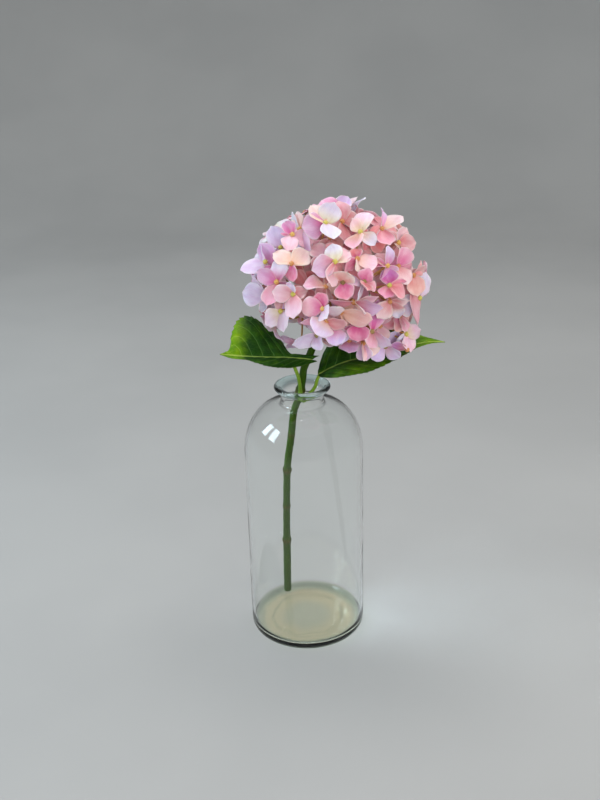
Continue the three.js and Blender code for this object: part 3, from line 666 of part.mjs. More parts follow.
const CROSSED = new Set(["5/1", "6/1", "16/1", "16/2", "18/1", "19/0", "19/1", "24/0", "25/0", "27/0", "27/1", "29/0", "32/0", "34/0", "34/1", "38/0", "38/1", "40/0", "40/1"]);

const largest = (s) =>
  s.decompose().reduce((a, b) => (b.volume() > a.volume() ? b : a));

// ---- the jar ------------------------------------------------------------
const arc = (r0, z0, r1, z1, n) =>
  Array.from({ length: n + 1 }, (_, i) => {
    const t = (i / n) * (Math.PI / 2);
    return [r1 + (r0 - r1) * Math.cos(t), z0 + (z1 - z0) * Math.sin(t)];
  });
const neckIn = NECK_RADIUS - NECK_WALL;
const jarProfile = [
  [0, 0],
  [JAR_RADIUS - 6.5, 0],
  [JAR_RADIUS - 2.8, 1.2],
  [JAR_RADIUS - 0.7, 4],
  [JAR_RADIUS, 8],
  ...arc(JAR_RADIUS, SHOULDER_START, NECK_RADIUS + 0.7, SHOULDER_TOP, 5),
  [NECK_RADIUS, SHOULDER_TOP + 3],
  [NECK_RADIUS, SHOULDER_TOP + 7],
  [NECK_RADIUS + 2.2, JAR_HEIGHT - 6.3],
  [RIM_RADIUS - 0.8, JAR_HEIGHT - 4.4],
  [RIM_RADIUS, JAR_HEIGHT - 2.4],
  [RIM_RADIUS - 0.8, JAR_HEIGHT - 0.2],
  [RIM_RADIUS - 2.4, JAR_HEIGHT],
  [neckIn + 2.2, JAR_HEIGHT - 1.6],
  [neckIn + 0.3, JAR_HEIGHT - 5],
  [neckIn, SHOULDER_TOP + 5],
  [neckIn + 0.4, SHOULDER_TOP],
  ...arc(
    JAR_RADIUS - JAR_WALL,
    SHOULDER_START,
    neckIn + 1.2,
    SHOULDER_TOP - JAR_WALL,
    4,
  ).reverse(),
  [JAR_RADIUS - JAR_WALL, 14],
  [JAR_RADIUS - JAR_WALL - 2.2, JAR_FLOOR + 2.6],
  [JAR_RADIUS - JAR_WALL - 6.5, JAR_FLOOR],
  [0, JAR_FLOOR + 1.6],
];
const jar = solid(
  new THREE.LatheGeometry(
    jarProfile.map(([r, z]) => new THREE.Vector2(r, z)),
    JAR_SEGMENTS,
  ).rotateX(Math.PI / 2),
);

// ---- the stem -----------------------------------------------------------
const stemPoints = STEM.map(V);
const stem = [
  rod(stemPoints, STEM_RADIUS, 8, 18),
  ball(stemPoints[3], STEM_RADIUS + 1.2, 1),
  ball(stemPoints[7], STEM_RADIUS + 0.9, 1),
  ball(stemPoints[14], STEM_RADIUS + 1.3, 1),
  ball(V(HUB), HUB_RADIUS, 1),
].reduce((s, p) => s.add(p));

// ---- the leaves ---------------------------------------------------------
function leaf(stations, petiole) {
  const rows = stations.map((st) => {
    const [m, u, l] = st.map(V);
    if (u.distanceTo(l) < 1) {
      u.y += 0.6;
      l.y -= 0.6;
    }
    const up = new THREE.Vector3(0, 0, 1);
    const rise = Math.min(2.4, u.distanceTo(m) * 0.07),
      fall = Math.min(1.6, l.distanceTo(m) * 0.07);
    return [
      u,
      mix(u, m, 0.5).addScaledVector(up, rise),
      m,
      mix(m, l, 0.5).addScaledVector(up, fall),
      l,
    ];
  });
  return plate(rows, LEAF_THICKNESS).add(
    rod(petiole.map(V), PETIOLE_RADIUS, 5, 5),
  );
}

// ---- the head -----------------------------------------------------------
const hub = V(HUB);
const rays = RAY_TIPS.map((tip) => {
  const end = V(tip);
  const dir = end.clone().sub(hub).normalize();
  const bow = mix(hub, end, 0.5);
  bow.z += 1.5;
  return rod(
    [hub.clone().addScaledVector(dir, HUB_RADIUS + GAP + 0.3), bow, end],
    RAY_RADIUS,
    6,
    3,
  ).add(ball(end, RAY_KNOB_RADIUS, 1));
});
const leafLeft = leaf(LEAF_LEFT, PETIOLE_LEFT);
const leafRight = leaf(LEAF_RIGHT, PETIOLE_RIGHT);

// A piece gives way to the pieces placed before it, with the clearance all round.
const near = (a, b) => {
  const p = a.boundingBox(),
    q = b.boundingBox();
  return [0, 1, 2].every((i) => p.min[i] < q.max[i] && q.min[i] < p.max[i]);
};
const placed = [];
function place(name, body, grown, colour, roughness, metalness, extra) {
  let s = body;
  for (const other of placed)
    if (near(s, other.grown)) s = s.subtract(other.grown);
  s = largest(largest(s).simplify(SIMPLIFY));
  s = largest(solid(geometryOf(s)));
  placed.push({ name, s, grown, colour, roughness, metalness, extra });
}

const COLOURS = {
  W: 0xe2e4f0,
  L: 0xdecde4,
  V: 0xd4b4da,
  P: 0xf3cdd6,
  K: 0xe8a5be,
  R: 0xe28c96,
  H: 0xe06e9b,
  C: 0xf3e4cd,
  E: 0xf3cdb9,
  D: 0xc896a0,
  M: 0xc496be,
};
place("jar", jar, jar, 0xcfe0da, 0.05, 0, {
  transparent: true,
  opacity: 0.35,
});
const grownRod = (points, r, sides, steps) => rod(points, r + GAP, sides, steps);
place(
  "stem",
  stem,
  stem.add(grownRod(stemPoints, STEM_RADIUS + 0.1, 8, 26))
    .add(ball(stemPoints[14], STEM_RADIUS + 1.3 + 0.4, 1))
    .add(ball(hub, HUB_RADIUS + 0.4, 1)),
  0x5a7a22,
  0.55,
  0,
);
place("leaf_left", leafLeft, leafLeft, 0x2f5a12, 0.5, 0);
place("leaf_right", leafRight, leafRight, 0x2c5c16, 0.5, 0);
rays.forEach((r, i) => {
  const end = V(RAY_TIPS[i]);
  const dir = end.clone().sub(hub).normalize();
  place(
    "ray_" + (i + 1),
    r,
    r.add(
      rod([hub.clone().addScaledVector(dir, HUB_RADIUS), end], RAY_RADIUS + GAP, 6, 1),
    ).add(ball(end, RAY_KNOB_RADIUS + GAP, 1)),
    0x8c8c3c,
    0.6,
    0,
  );
});
// A petal gives way to the pedicels of every other sprig, and to the petals of the
// sprigs before it, but a pedicel passes through the petals in its way, so that no
// floret is cut off its stalk.
const solids = placed.map((p) => p.grown);
const sprigs = SPRIGS.map(([ray, florets], n) => ({
  body: flowers(ray, florets, 0, n),
  grown: flowers(ray, florets, GAP + 0.05, n),
  stalk: stalks(ray, florets, 0.05),
  wide: stalks(ray, florets, GAP + 0.1),
  colour: COLOURS[florets[0][7][0][9][0]],
}));
sprigs.forEach((a, i) => {
  let s = a.body;
  for (const other of solids) if (near(s, other)) s = s.subtract(other);
  sprigs.forEach((b, j) => {
    if (j < i && near(s, b.wide)) s = s.subtract(b.wide);
    if (j > i && near(s, b.wide)) s = s.subtract(b.wide.subtract(a.stalk));
    if (j < i && near(s, b.grown)) s = s.subtract(b.grown.subtract(a.stalk));
  });
  const whole = largest(s);
  for (const tolerance of [SIMPLIFY, 0.12, 0.05, 0.01]) {
    s = largest(whole.simplify(tolerance));
    s = largest(solid(geometryOf(s)));
    if (!placed.some((p) => near(p.s, s) && p.s.intersect(s).volume() > 0.001))
      break;
  }
  for (const p of placed)
    if (near(p.s, s) && p.s.intersect(s).volume() > 0.001)
      s = largest(s.subtract(p.s));
  s = largest(solid(geometryOf(s)));
  placed.push({
    name: "sprig_" + String(i + 1).padStart(2, "0"),
    s,
    colour: a.colour,
    roughness: 0.55,
    metalness: 0,
  });
});

const hydrangea = new THREE.Group();
for (const { name, s, colour, roughness, metalness, extra } of placed) {
  const mesh = new THREE.Mesh(
    geometryOf(s),
    new THREE.MeshStandardMaterial({
      color: colour,
      roughness,
      metalness,
      ...extra,
    }),
  );
  mesh.name = name;
  hydrangea.add(mesh);
}

export default hydrangea;
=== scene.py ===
import math

import bpy
import numpy as np
from mathutils import Matrix, Vector


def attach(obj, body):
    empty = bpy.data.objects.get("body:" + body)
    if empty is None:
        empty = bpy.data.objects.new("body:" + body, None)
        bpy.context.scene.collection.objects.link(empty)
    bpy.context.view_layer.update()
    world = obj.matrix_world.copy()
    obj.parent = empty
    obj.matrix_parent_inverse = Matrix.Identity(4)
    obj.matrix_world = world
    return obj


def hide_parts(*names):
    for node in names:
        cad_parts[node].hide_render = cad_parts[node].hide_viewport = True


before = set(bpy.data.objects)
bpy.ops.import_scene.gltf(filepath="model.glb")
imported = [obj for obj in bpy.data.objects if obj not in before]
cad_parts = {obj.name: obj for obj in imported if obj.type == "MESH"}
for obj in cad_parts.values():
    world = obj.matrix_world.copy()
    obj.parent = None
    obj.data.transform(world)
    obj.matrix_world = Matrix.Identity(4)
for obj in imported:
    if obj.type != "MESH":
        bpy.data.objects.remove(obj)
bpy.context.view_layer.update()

scene = bpy.context.scene

# ---------------------------------------------------------------- camera
# The camera comes first. Millimetres in the tables below, metres in Blender.
cam_data = bpy.data.cameras.new("camera")
cam_data.sensor_fit = "AUTO"
cam_data.sensor_width = 36.0
cam_data.lens = 46.916
cam_data.clip_start = 0.02
cam_data.clip_end = 30.0
camera = bpy.data.objects.new("camera", cam_data)
scene.collection.objects.link(camera)
right = Vector((0.99967482, -0.00780112, -0.02427764))
up = Vector((0.02538602, 0.39445387, 0.91856502))
look = Vector((-0.00241057, 0.91888263, -0.39452364))
m = Matrix.Identity(4)
for i in range(3):
    m[i][0], m[i][1], m[i][2] = right[i], up[i], -look[i]
m[0][3], m[1][3], m[2][3] = 0.0, -0.87005, 0.60975
camera.matrix_world = m
scene.camera = camera

# ---------------------------------------------------------------- growth tables (mm)
# The same tables that the CAD pieces are grown from.
STEM = [[-20.3,39.8,8.3],[-20,36.2,30.5],[-19.6,32.6,52.8],[-19.3,29.5,72.1],[-18.8,25.5,97.3],[-18,21.5,121.7],[-17,17.7,145.6],[-16.4,15.8,157.2],[-14.7,13.2,173.3],[-12.6,11,186.9],[-10.7,8.6,201.8],[-9.3,6.5,215],[-7.4,4.8,225.8],[-4.8,3.3,234.8],[-2.5,2.2,241.7],[.5,1.5,255.7],[1.9,1,266.3],[6.8,1,277.7],[11.5,1,289.9],[17,1,302.9],[26,2,319]]
HUB = [26,2,319]
RAY_TIPS = [[4.3,7.9,330.8],[40.7,-23.4,344.8],[23.6,25.5,327],[28.6,-27.7,326.4],[26,-3.3,357],[47.5,-8.8,315.5],[53.4,-7.1,339.6],[10.6,-18.4,342.9],[46.8,20.9,337.4]]
LEAF_LEFT = [
  [[9.3,-9,278.2],[16,-6,280.9],[14,-13,277.8]],
  [[-.4,-9.6,279.9],[-3.9,-4.6,282.6],[2.1,-19.6,277.3]],
  [[-11.8,-10.1,281.5],[-10.8,-1.1,282.4],[-11,-27.1,278.7]],
  [[-25.1,-10.7,282.1],[-18,11.3,289],[-24.8,-29.7,280.5]],
  [[-37.4,-11.2,282.9],[-30.4,21.8,299.6],[-36.9,-26.2,282.5]],
  [[-47.9,-11.8,283.9],[-43.6,24.2,309.8],[-47.5,-20.8,283.8]],
  [[-55.7,-12.3,284.9],[-54.7,18.7,308.9],[-55.5,-18.3,284]],
  [[-62.7,-12.9,286],[-60.4,6.1,300.1],[-62.5,-16.9,285.1]],
  [[-67.9,-13.4,286.9],[-62.8,-6.4,289.2],[-67.7,-15.4,286.7]],
  [[-71.5,-14,287.8],[-71.5,-14,287.8],[-71.5,-14,287.8]]
]
LEAF_RIGHT = [
  [[14,-9,263.8],[14.7,-5,267],[16,-13,263.5]],
  [[21.5,-7.9,267.5],[16.6,10.1,272.2],[24.5,-23.9,266.2]],
  [[29.6,-6.8,271.1],[21.7,21.2,277],[33.9,-31.8,269.8]],
  [[40.4,-5.7,274.7],[32.2,32.3,285.3],[44.1,-35.7,273.2]],
  [[52,-4.6,277],[48.3,40.4,296.2],[55.3,-35.6,276]],
  [[65.4,-3.5,279.7],[67.9,43.5,303.3],[66.9,-30.5,278.8]],
  [[78.8,-2.4,282.6],[85.2,41.6,301.5],[78.5,-25.4,281.2]],
  [[91.3,-1.3,285.2],[98.1,31.7,295.4],[90.4,-19.3,284.1]],
  [[102.9,-.2,287.5],[108.4,16.8,289.8],[101.9,-9.2,286.9]],
  [[115.5,.9,288.7],[118.9,6.9,289],[115.1,-2.1,288.3]],
  [[128.4,2,287.9],[128.4,2,287.9],[128.4,2,287.9]]
]
PETIOLE_LEFT = [[-1.9,-4.4,244.4],[-2,-5.6,251.3],[-3.3,-8,262],[-5.8,-9.6,270.3],[-9.2,-9.9,279.9]]
PETIOLE_RIGHT = [[1.6,-3.4,240],[6.7,-5.6,244.7],[11.5,-7.8,252.3],[13.4,-8.8,259],[15.7,-8.6,264.2]]
SPRIGS = [
  [0, [
    [.3,-12.4,297.2,-.114,-.444,-.889,"o",[[15.4,-1.8,295.6,.111,-.3,-.947,17.9,2.2,-.7,"Ky"],[9.5,-28.3,304.6,-.101,-.466,-.879,19.4,.2,1.4,"W0"],[-17.4,-17.8,305.3,-.239,-.486,-.841,19.1,.7,1.4,"Vr"],[-9.8,2.3,288.3,-.05,-.541,-.84,19.1,1.5,-.1,"Vm"]]],
    [-25.4,-22.3,319.8,-.937,-.084,-.34,"y",[[-28.2,-39.1,328.5,-.93,-.036,-.365,17.6,.9,1.3,"Pr"],[-28,-13.6,335.9,-.986,.012,-.164,17.3,1.1,.1,"Pm"],[-21.4,-5.5,311.2,-.918,.019,-.395,18.8,1,1.2,"Pc"],[-14.3,-31.1,304.3,-.844,-.176,-.506,19.2,1.8,.9,"Ly"]]]
  ]],
  [0, [
    [-31.3,-5.8,352.8,-.965,.223,.14,"g",[[-23.5,9.2,341,-.894,.447,-.024,18.9,1.8,-.9,"Kc"],[-39.3,-12.5,335.2,-.908,.288,.303,18.8,2.3,1.1,"Py"],[-35.6,-21.6,361.9,-.946,.31,.092,17.3,1.5,1.6,"Kr"],[-30.9,1.2,370.8,-.987,.155,-.042,18.6,1.1,-0,"Km"]]]
  ]],
  [0, [
    [-29.4,43.5,355.6,-.638,.67,.38,"o",[[-30.9,29.3,369.8,-.657,.565,.498,17,2.3,1.8,"Vr"],[-15.8,53.7,364.6,-.697,.629,.343,18.3,.3,.1,"Vc"],[-26.9,50.8,338.8,-.624,.747,.229,18.8,.4,.7,"Wm"],[-43.4,31.1,346,-.743,.59,.316,18.7,1.7,2.3,"P0"]]],
    [-39.1,22.1,337.3,-.932,.304,-.198,"o",[[-34.9,28,320.5,-.949,.283,-.137,18.6,1.4,-.3,"Vm"],[-40.6,3.7,331.4,-.955,.16,-.248,17.3,.6,2.4,"Vm"],[-38.6,14.5,355.8,-.976,.193,.102,18.8,.3,1,"Vr"],[-34.5,38,345.7,-.918,.357,-.171,19.1,2.3,.3,"V0"]]]
  ]],
  [0, [
    [-23.1,13.9,386.8,-.633,-.097,.768,"o",[[-36.2,14.7,369.2,-.8,-.091,.593,18,2,.4,"Wm"],[-23.5,-7.5,388.1,-.637,.06,.768,18.1,1.9,-.9,"Wc"],[-6.5,13.7,397.8,-.552,-.099,.828,19.3,2.1,-.6,"Wy"],[-22.5,34.4,386.8,-.634,.017,.773,18,1.5,-.4,"Wm"]]],
    [-27.5,18.7,360.4,-.953,.271,.138,"g",[[-34.2,.9,361.4,-.924,.357,.134,17.8,2.3,.2,"Vc"],[-22.5,18.6,378.4,-.927,.273,.257,19.2,1.8,.7,"V0"],[-18,34.9,357,-.85,.518,.093,17,2.3,.1,"Vc"],[-34.5,19.1,342,-.897,.273,.348,18.8,.8,2.2,"V0"]]],
    [-14.9,41.5,378.3,-.52,.379,.765,"y",[[-30.1,28.3,377.6,-.433,.461,.775,21.4,.5,.1,"Km"],[-5.5,27.5,389.7,-.489,.332,.807,20.8,2,2.5,"Km"],[-.2,56.1,382.6,-.56,.342,.755,19.7,1.1,1.7,"Kr"],[-28.1,56.3,368.5,-.395,.233,.889,19,.9,-.7,"Kr"]]]
  ]],
  [0, [
    [-28.1,14.4,312.7,-.755,.304,-.581,"g",[[-13.3,15.6,300.6,-.612,.322,-.722,17,1.9,.7,"Wr"],[-28,-3.4,307.6,-.761,.172,-.625,18,1.2,.8,"Wm"],[-36.1,9.5,328,-.891,.244,-.384,16.7,.5,-.8,"Km"],[-25,31.5,317.8,-.754,.309,-.579,17.8,2.1,-.3,"Wr"]]],
    [-22,43.3,324.6,-.839,.504,-.206,"g",[[-32.7,27.2,327.2,-.832,.515,-.208,17.5,2.1,.7,"Wr"],[-19.8,46.3,343.2,-.834,.552,.01,16.5,2.2,-.1,"Pr"],[-9.5,55.8,324.5,-.691,.69,-.214,16.5,1.1,1.2,"Py"],[-22.7,39.9,306.4,-.842,.535,-.07,18.3,.7,-.6,"Wm"]]]
  ]],
  [1, [
    [70.4,-60.8,377.2,.453,-.703,.548,"g",[[73.4,-56.3,392.7,.776,-.63,.031,15.8,.5,-0,"Lm"],[56.8,-59.7,377.2,-.024,-.352,.936,13,1.6,2,"Hm"],[63.1,-50.8,385.3,.219,-.516,.828,14.2,.8,1.6,"Dr"],[74.2,-50.8,363.4,.583,-.724,-.369,18,1,1,"Lm"]]],
    [80,-48.6,373.4,.621,-.705,.343,"o",[[87.9,-44.6,388,.525,-.85,-.047,16.4,1.2,2.1,"Km"],[87.9,-56.7,359.6,.539,-.555,.634,17.1,1.8,-.4,"Pr"],[71.8,-32.7,370.9,-.518,-.131,.846,17.5,1,1,"Km"],[92,-34.5,367.6,.785,-.579,.219,16.2,1,1,"Km"]]]
  ]],
  [1, [
    [71.8,-64.1,361.9,.415,-.858,.301,"y",[[71.7,-55.2,372.6,-.096,-.764,.638,19.1,-.2,3,"Mm"],[68,-72.2,353.2,.056,-.742,.668,14.8,-.2,-0,"Kr"],[85.9,-59.3,365.5,.392,-.69,-.608,11.1,.3,-.8,"Kr"],[84.8,-65,352.2,.491,-.519,.7,15.6,1.7,1.5,"Er"]]],
    [72.7,-65,349.1,.193,-.918,-.347,"o",[[88,-65.5,348,-.069,-.762,-.644,14.8,-.2,1,"Cr"],[83.1,-66.7,342.6,-.477,-.643,-.599,11.2,1,-.1,"Dr"],[71.2,-47.9,351.9,.461,-.104,.881,16.7,1,1,"Cr"],[62.2,-69,336.3,.215,-.969,.123,15.7,1,1,"Cr"]]],
    [78.7,-53.6,341.9,.504,-.861,.066,"o",[[80.4,-62.4,334,-.183,-.674,.715,11.5,-.5,-.5,"Wc"],[71.6,-55.9,331.6,.605,-.756,-.251,12.2,.8,1.5,"Ec"],[76.6,-34.6,343.1,.792,.046,.609,17.5,1,1,"Wc"],[94.5,-45.8,339.3,.451,-.889,.079,17.9,1,1,"Wc"]]]
  ]],
  [1, [
    [49.5,-49,402.1,.093,-.632,.769,"y",[[42.8,-47.6,412.9,.413,-.836,.361,12.3,.6,-.5,"Py"],[56.7,-37.4,416.2,-.414,-.592,.692,17.5,1.3,-.2,"Py"],[43.1,-62.1,391.8,-.565,-.321,.76,17.1,1,2.6,"Kc"],[61.4,-56.9,393.6,.3,-.448,.842,16,-.5,2.2,"Wc"]]],
    [58.3,-37.7,396.1,.297,-.63,.717,"g",[[65.5,-28.3,402.7,-.448,-.26,.856,13,-.1,-.6,"Rr"],[54.8,-41.5,384.7,.694,-.72,.028,12,-.6,.2,"Rr"],[46,-25.4,392.5,-.631,-.441,.638,16,1,1,"Rr"],[69.6,-31.9,381.3,.599,-.787,.146,18.1,1,1,"Rr"]]],
    [67.9,-34.3,400.8,.467,-.547,.694,"o",[[69.7,-21.5,415.5,.859,-.432,.275,11.3,1.3,1,"Vm"],[86.7,-24.9,407.6,-.202,-.271,.941,17.5,1.6,-.1,"Cc"],[73.2,-45.7,389.5,.233,-.63,.741,16.2,.2,0,"Kr"],[63.2,-37.8,390.2,.572,-.82,.016,11.7,1.9,2.8,"Vr"]]]
  ]],
  [1, [
    [56.8,-41.3,357,.362,-.854,.374,"g",[[44.4,-37.7,370.5,.275,-.835,.476,16,.9,1.2,"Rr"],[41.2,-49,348.1,.264,-.91,.319,17.9,.6,2.2,"K0"],[69.4,-42.9,344.9,.306,-.849,.43,16.5,2.1,2.2,"R0"],[71.6,-35.5,367,.196,-.944,.264,16.5,1.5,-.9,"D0"]]],
    [46.3,-44.2,374.1,.011,-.869,.494,"g",[[29,-43.4,380.6,.128,-.882,.454,16.1,1.6,-.3,"Dm"],[40.9,-55.4,359.8,.051,-.797,.602,17.1,1,1.1,"R0"],[63.5,-43.2,365.9,.242,-.883,.401,18.6,.4,-.9,"R0"],[54.6,-35.6,387.6,.031,-.85,.526,17.7,.9,0,"Em"]]]
  ]],
  [1, [
    [34.4,-74.8,368.6,-.035,-.933,.359,"b",[[37.2,-84.8,380.9,-.308,-.77,-.559,18.8,-.5,2.2,"Cr"],[37.1,-83.4,356.4,-.098,-.827,.554,17.1,1.3,2.2,"Hm"],[49.8,-69.7,367.9,.13,-.251,.959,15.6,1.4,.1,"Vr"],[26,-64.4,357.4,-.55,-.775,-.31,15.7,1,1,"Cr"]]],
    [51.2,-72.3,368.2,.413,-.847,.335,"e",[[54.9,-76.2,379.5,-.262,-.936,-.235,15.4,1,.4,"Hm"],[42.9,-85.5,357.7,.868,-.491,-.069,11,1.3,.2,"L0"],[52,-85.2,363.5,.565,-.253,.785,13.2,1.5,.7,"Rr"],[59.8,-74.7,360.1,.552,-.438,.709,11.6,.8,1.7,"Kr"]]]
  ]],
  [1, [
    [28.4,-70.1,384.2,.082,-.851,.519,"y",[[27,-60.6,396.3,-.285,-.769,.572,14.8,.3,-.5,"Wy"],[40.6,-64,390.7,-.135,-.586,.799,14.5,.2,.6,"Py"],[23.9,-79.8,366.7,.765,-.626,.15,17.5,-.3,-.7,"Pr"],[10.4,-80.2,381,.401,-.834,.381,17.9,.9,2.9,"Vr"]]],
    [46.1,-65.2,384.8,.323,-.789,.523,"o",[[34.3,-71.3,378.2,.578,-.729,-.367,14.3,0,-.4,"Km"],[62,-65.5,378.7,.284,-.557,.78,16.3,.4,1,"Pc"],[44.2,-57.1,390.8,-.203,-.619,.758,11.2,.1,1.4,"Rm"],[47.2,-74.1,376.7,.818,-.331,.47,11,1,-0,"Cr"]]]
  ]],
  [2, [
    [2.5,65.2,368.4,-.179,.96,.215,"y",[[20.3,63.6,371.7,.037,.964,.262,17,.7,2.2,"Wm"],[5.3,74,352.5,-.223,.87,.44,16.7,1.9,1.3,"Wy"],[-14.5,60.4,362.5,-.324,.931,.168,17.4,1.4,1.6,"Wr"],[.7,63.8,388.2,-.167,.984,.056,16.6,.4,.3,"Wc"]]],
    [-12,60.5,346.5,-.603,.797,.021,"y",[[3.3,69,355.6,-.515,.854,.076,17.5,.7,1.1,"Wy"],[-5.9,66.5,328.9,-.615,.787,.053,18.6,2.4,2,"Vm"],[-24.7,52.1,336.8,-.576,.816,.042,16.6,1.4,1.1,"Wr"],[-23,56.6,362.6,-.508,.85,-.136,18.5,1.7,1.4,"Wr"]]]
  ]],
  [2, [
    [30.2,20.2,292.7,.394,.193,-.899,"o",[[23.2,37,291.3,.433,.104,-.895,17.4,1.5,-.7,"Rc"],[45.3,31.3,299.5,.319,.138,-.938,19.4,2.2,1.4,"Rr"],[37.6,3.6,295.1,.451,.074,-.889,17.5,2.1,.8,"Rc"],[15,11.8,288,.244,.11,-.964,19.4,1.4,1.2,"Ry"]]],
    [-.2,40.5,303.6,-.502,.259,-.825,"y",[[10.2,25.6,297.2,-.404,.109,-.908,17.5,1,1.4,"Vr"],[-18.6,30.8,306.2,-.316,.37,-.874,19.1,.4,.6,"Ly"],[-10.7,56.3,312.8,-.462,.196,-.865,20,.8,.9,"Lm"],[11.8,50.7,293.9,-.686,.126,-.717,20,2.1,1.3,"Lr"]]],
    [30.4,44.7,313.4,.142,.652,-.745,"g",[[18.3,32.5,300.6,.139,.65,-.747,19.3,1.8,-.1,"Rm"],[12.8,55.6,313.5,.338,.549,-.765,20.7,.7,1.4,"Rm"],[39.5,52.1,330.4,.297,.807,-.51,18.5,.7,-.7,"Rc"],[48.8,38.7,304.9,-.068,.741,-.668,17.9,1.2,2.5,"Rc"]]]
  ]],
  [2, [
    [9,67.2,331,-.577,.721,-.383,"o",[[8.3,55.6,314.4,-.582,.676,-.452,18.8,1.3,2.3,"Wm"],[-8.2,60.8,336.7,-.44,.785,-.436,16.5,2.2,1.8,"Wc"],[11.6,78.5,345.7,-.586,.69,-.426,17.2,.4,.9,"Wr"],[24.9,76.9,323.4,-.604,.705,-.371,16.8,1,-.6,"Wy"]]],
    [51.4,64.3,323.8,.261,.625,-.736,"o",[[31.7,67.6,321.3,.2,.637,-.745,19,.9,1.1,"Dc"],[49.4,79,337.5,.255,.679,-.689,21.6,1.5,2.2,"D0"],[71.6,62.3,331.2,.325,.62,-.714,21.4,1.4,1.4,"C0"],[53.4,51.8,305.9,.246,.806,-.538,20.8,.9,1.3,"Dc"]]]
  ]],
  [2, [
    [41.5,71.4,364.5,.362,.893,.268,"g",[[60,64.3,369.7,.283,.927,.246,19.5,1.3,1.7,"Cr"],[48.7,78,348.3,.284,.835,.47,19.3,1,-.4,"Rm"],[22.8,81.9,362.2,.446,.85,.28,18.2,2.2,-.8,"Cc"],[34.3,68.6,383.3,.363,.893,.267,19.1,.6,-.9,"Cc"]]],
    [32.5,61,342.8,.015,.991,-.134,"o",[[50.1,62.3,351.9,-0,.99,-.142,19.8,.3,2.4,"Cc"],[41.5,55,324.2,.082,.959,-.271,20.5,.7,-.2,"Cr"],[15.6,56.5,335.5,-.166,.963,-.215,20.2,1.3,2,"Cr"],[22.2,64.7,359.7,.047,.982,-.186,20.4,1.2,1.9,"Cm"]]]
  ]],
  [3, [
    [28.6,-71.9,330.5,-.029,-.983,.181,"o",[[28,-83.4,318.8,-.021,-.71,.704,17.5,-.4,1.2,"Lr"],[20.2,-58.7,323.4,-.616,-.642,-.456,16.7,1,1,"Lr"],[32.8,-67.8,314.8,.035,-.969,-.244,17.5,1,1,"Lr"],[39.5,-59.6,336.2,.607,-.707,.362,16.4,1,1,"Lr"]]],
    [13.2,-68,322.7,-.249,-.944,-.215,"e",[[-7,-70.9,316.1,.236,-.919,-.317,17.5,1.5,1.8,"L0"],[16,-76.8,312.4,-.662,-.652,.371,13.3,1.5,1,"L0"],[14,-49.3,323.9,-.957,.024,.288,17.7,1,1,"L0"],[14,-61.7,338.1,-.122,-.916,.381,16.2,1,1,"L0"]]]
  ]],
  [3, [
    [21.1,-66.7,362.8,-.24,-.889,.391,"o",[[3.1,-69.6,366.2,.218,-.217,.952,17.5,1.8,1.8,"Kc"],[14.5,-69.4,353.8,-.294,-.83,.474,11.1,1.5,1.7,"Dr"],[24.9,-69.8,352.8,-.733,-.678,-.061,10.7,-.2,.9,"Dr"],[27.6,-49.1,363.5,.615,-.256,.746,17.5,1,1,"Kc"]]],
    [18.1,-79.4,349,-.272,-.962,.003,"g",[[.3,-77.5,350.9,-.082,-.977,.195,17.3,.7,0,"Pm"],[35.5,-82.8,348.4,-.169,-.738,-.653,17,1.9,-.6,"W0"],[20.8,-94.7,346.1,-.827,-.237,.509,15.2,.2,1.2,"W0"],[14.4,-78,362.3,-.222,-.974,.038,13.4,-.5,-.4,"Hm"]]],
    [20.4,-78.5,338.1,-.017,-.982,-.191,"o",[[11.9,-95.6,333.8,.478,-.429,.767,21.6,1.3,.5,"Lc"],[-.4,-76.4,338,-.067,-.728,-.683,14.7,-.2,2.5,"Km"],[37.1,-81.1,336.9,-.172,-.842,-.511,16.3,1.2,2,"Dr"],[25.8,-61.2,340.9,.642,-.315,.699,16.7,1,1,"Lc"]]]
  ]],
  [3, [
    [17.4,-29.8,304.9,-.012,-.201,-.98,"g",[[8.9,-45.2,314.7,-.153,-.468,-.871,19.5,1.6,1.9,"Lc"],[-1.2,-19.7,305.4,-.107,-.15,-.983,18.7,.7,.3,"Vm"],[23.9,-9.2,303.6,.029,-.072,-.997,17.8,1.1,2,"L0"],[35.4,-36,303.5,-.13,-.162,-.978,18.3,1.3,1.3,"Lc"]]],
    [13.1,-44.7,338.8,-.129,-.989,.072,"g",[[11.1,-47.6,320.8,-.118,-.978,.171,17.5,.9,-.4,"Vr"],[30,-45.8,340.3,-.069,-.995,.077,17.9,1.1,.4,"Vm"],[11.4,-39.7,355.8,-.151,-.952,.265,16.3,1.9,.1,"V0"],[-5,-44.5,337.5,-.017,-.997,.08,15.6,.4,-.1,"Dr"]]]
  ]],
  [3, [
    [46.4,-71,332.7,.108,-.974,.199,"o",[[45.7,-82.7,320.7,-.041,-.715,.697,19.2,.6,1.3,"Hm"],[54.7,-55.1,327.7,.786,-.516,-.341,15.8,1,1,"Hm"],[30.6,-60.3,332.5,-.559,-.828,.03,17.6,1,1,"Hm"],[39.7,-66.1,317.7,-.06,-.955,-.289,17.2,1,1,"Hm"]]],
    [57.8,-70.3,325.7,.316,-.934,-.168,"e",[[63.2,-62.3,349.4,.528,-.834,.162,17.5,.5,2.4,"Mm"],[71.9,-78.1,315.2,-.646,-.666,-.373,17.5,-.2,1.5,"Lr"],[53.9,-81.4,315.2,.73,-.59,.344,15.1,.5,1.1,"Pr"],[48.3,-55.3,319.4,-.56,-.595,-.577,17.4,1,1,"Mm"]]]
  ]],
  [3, [
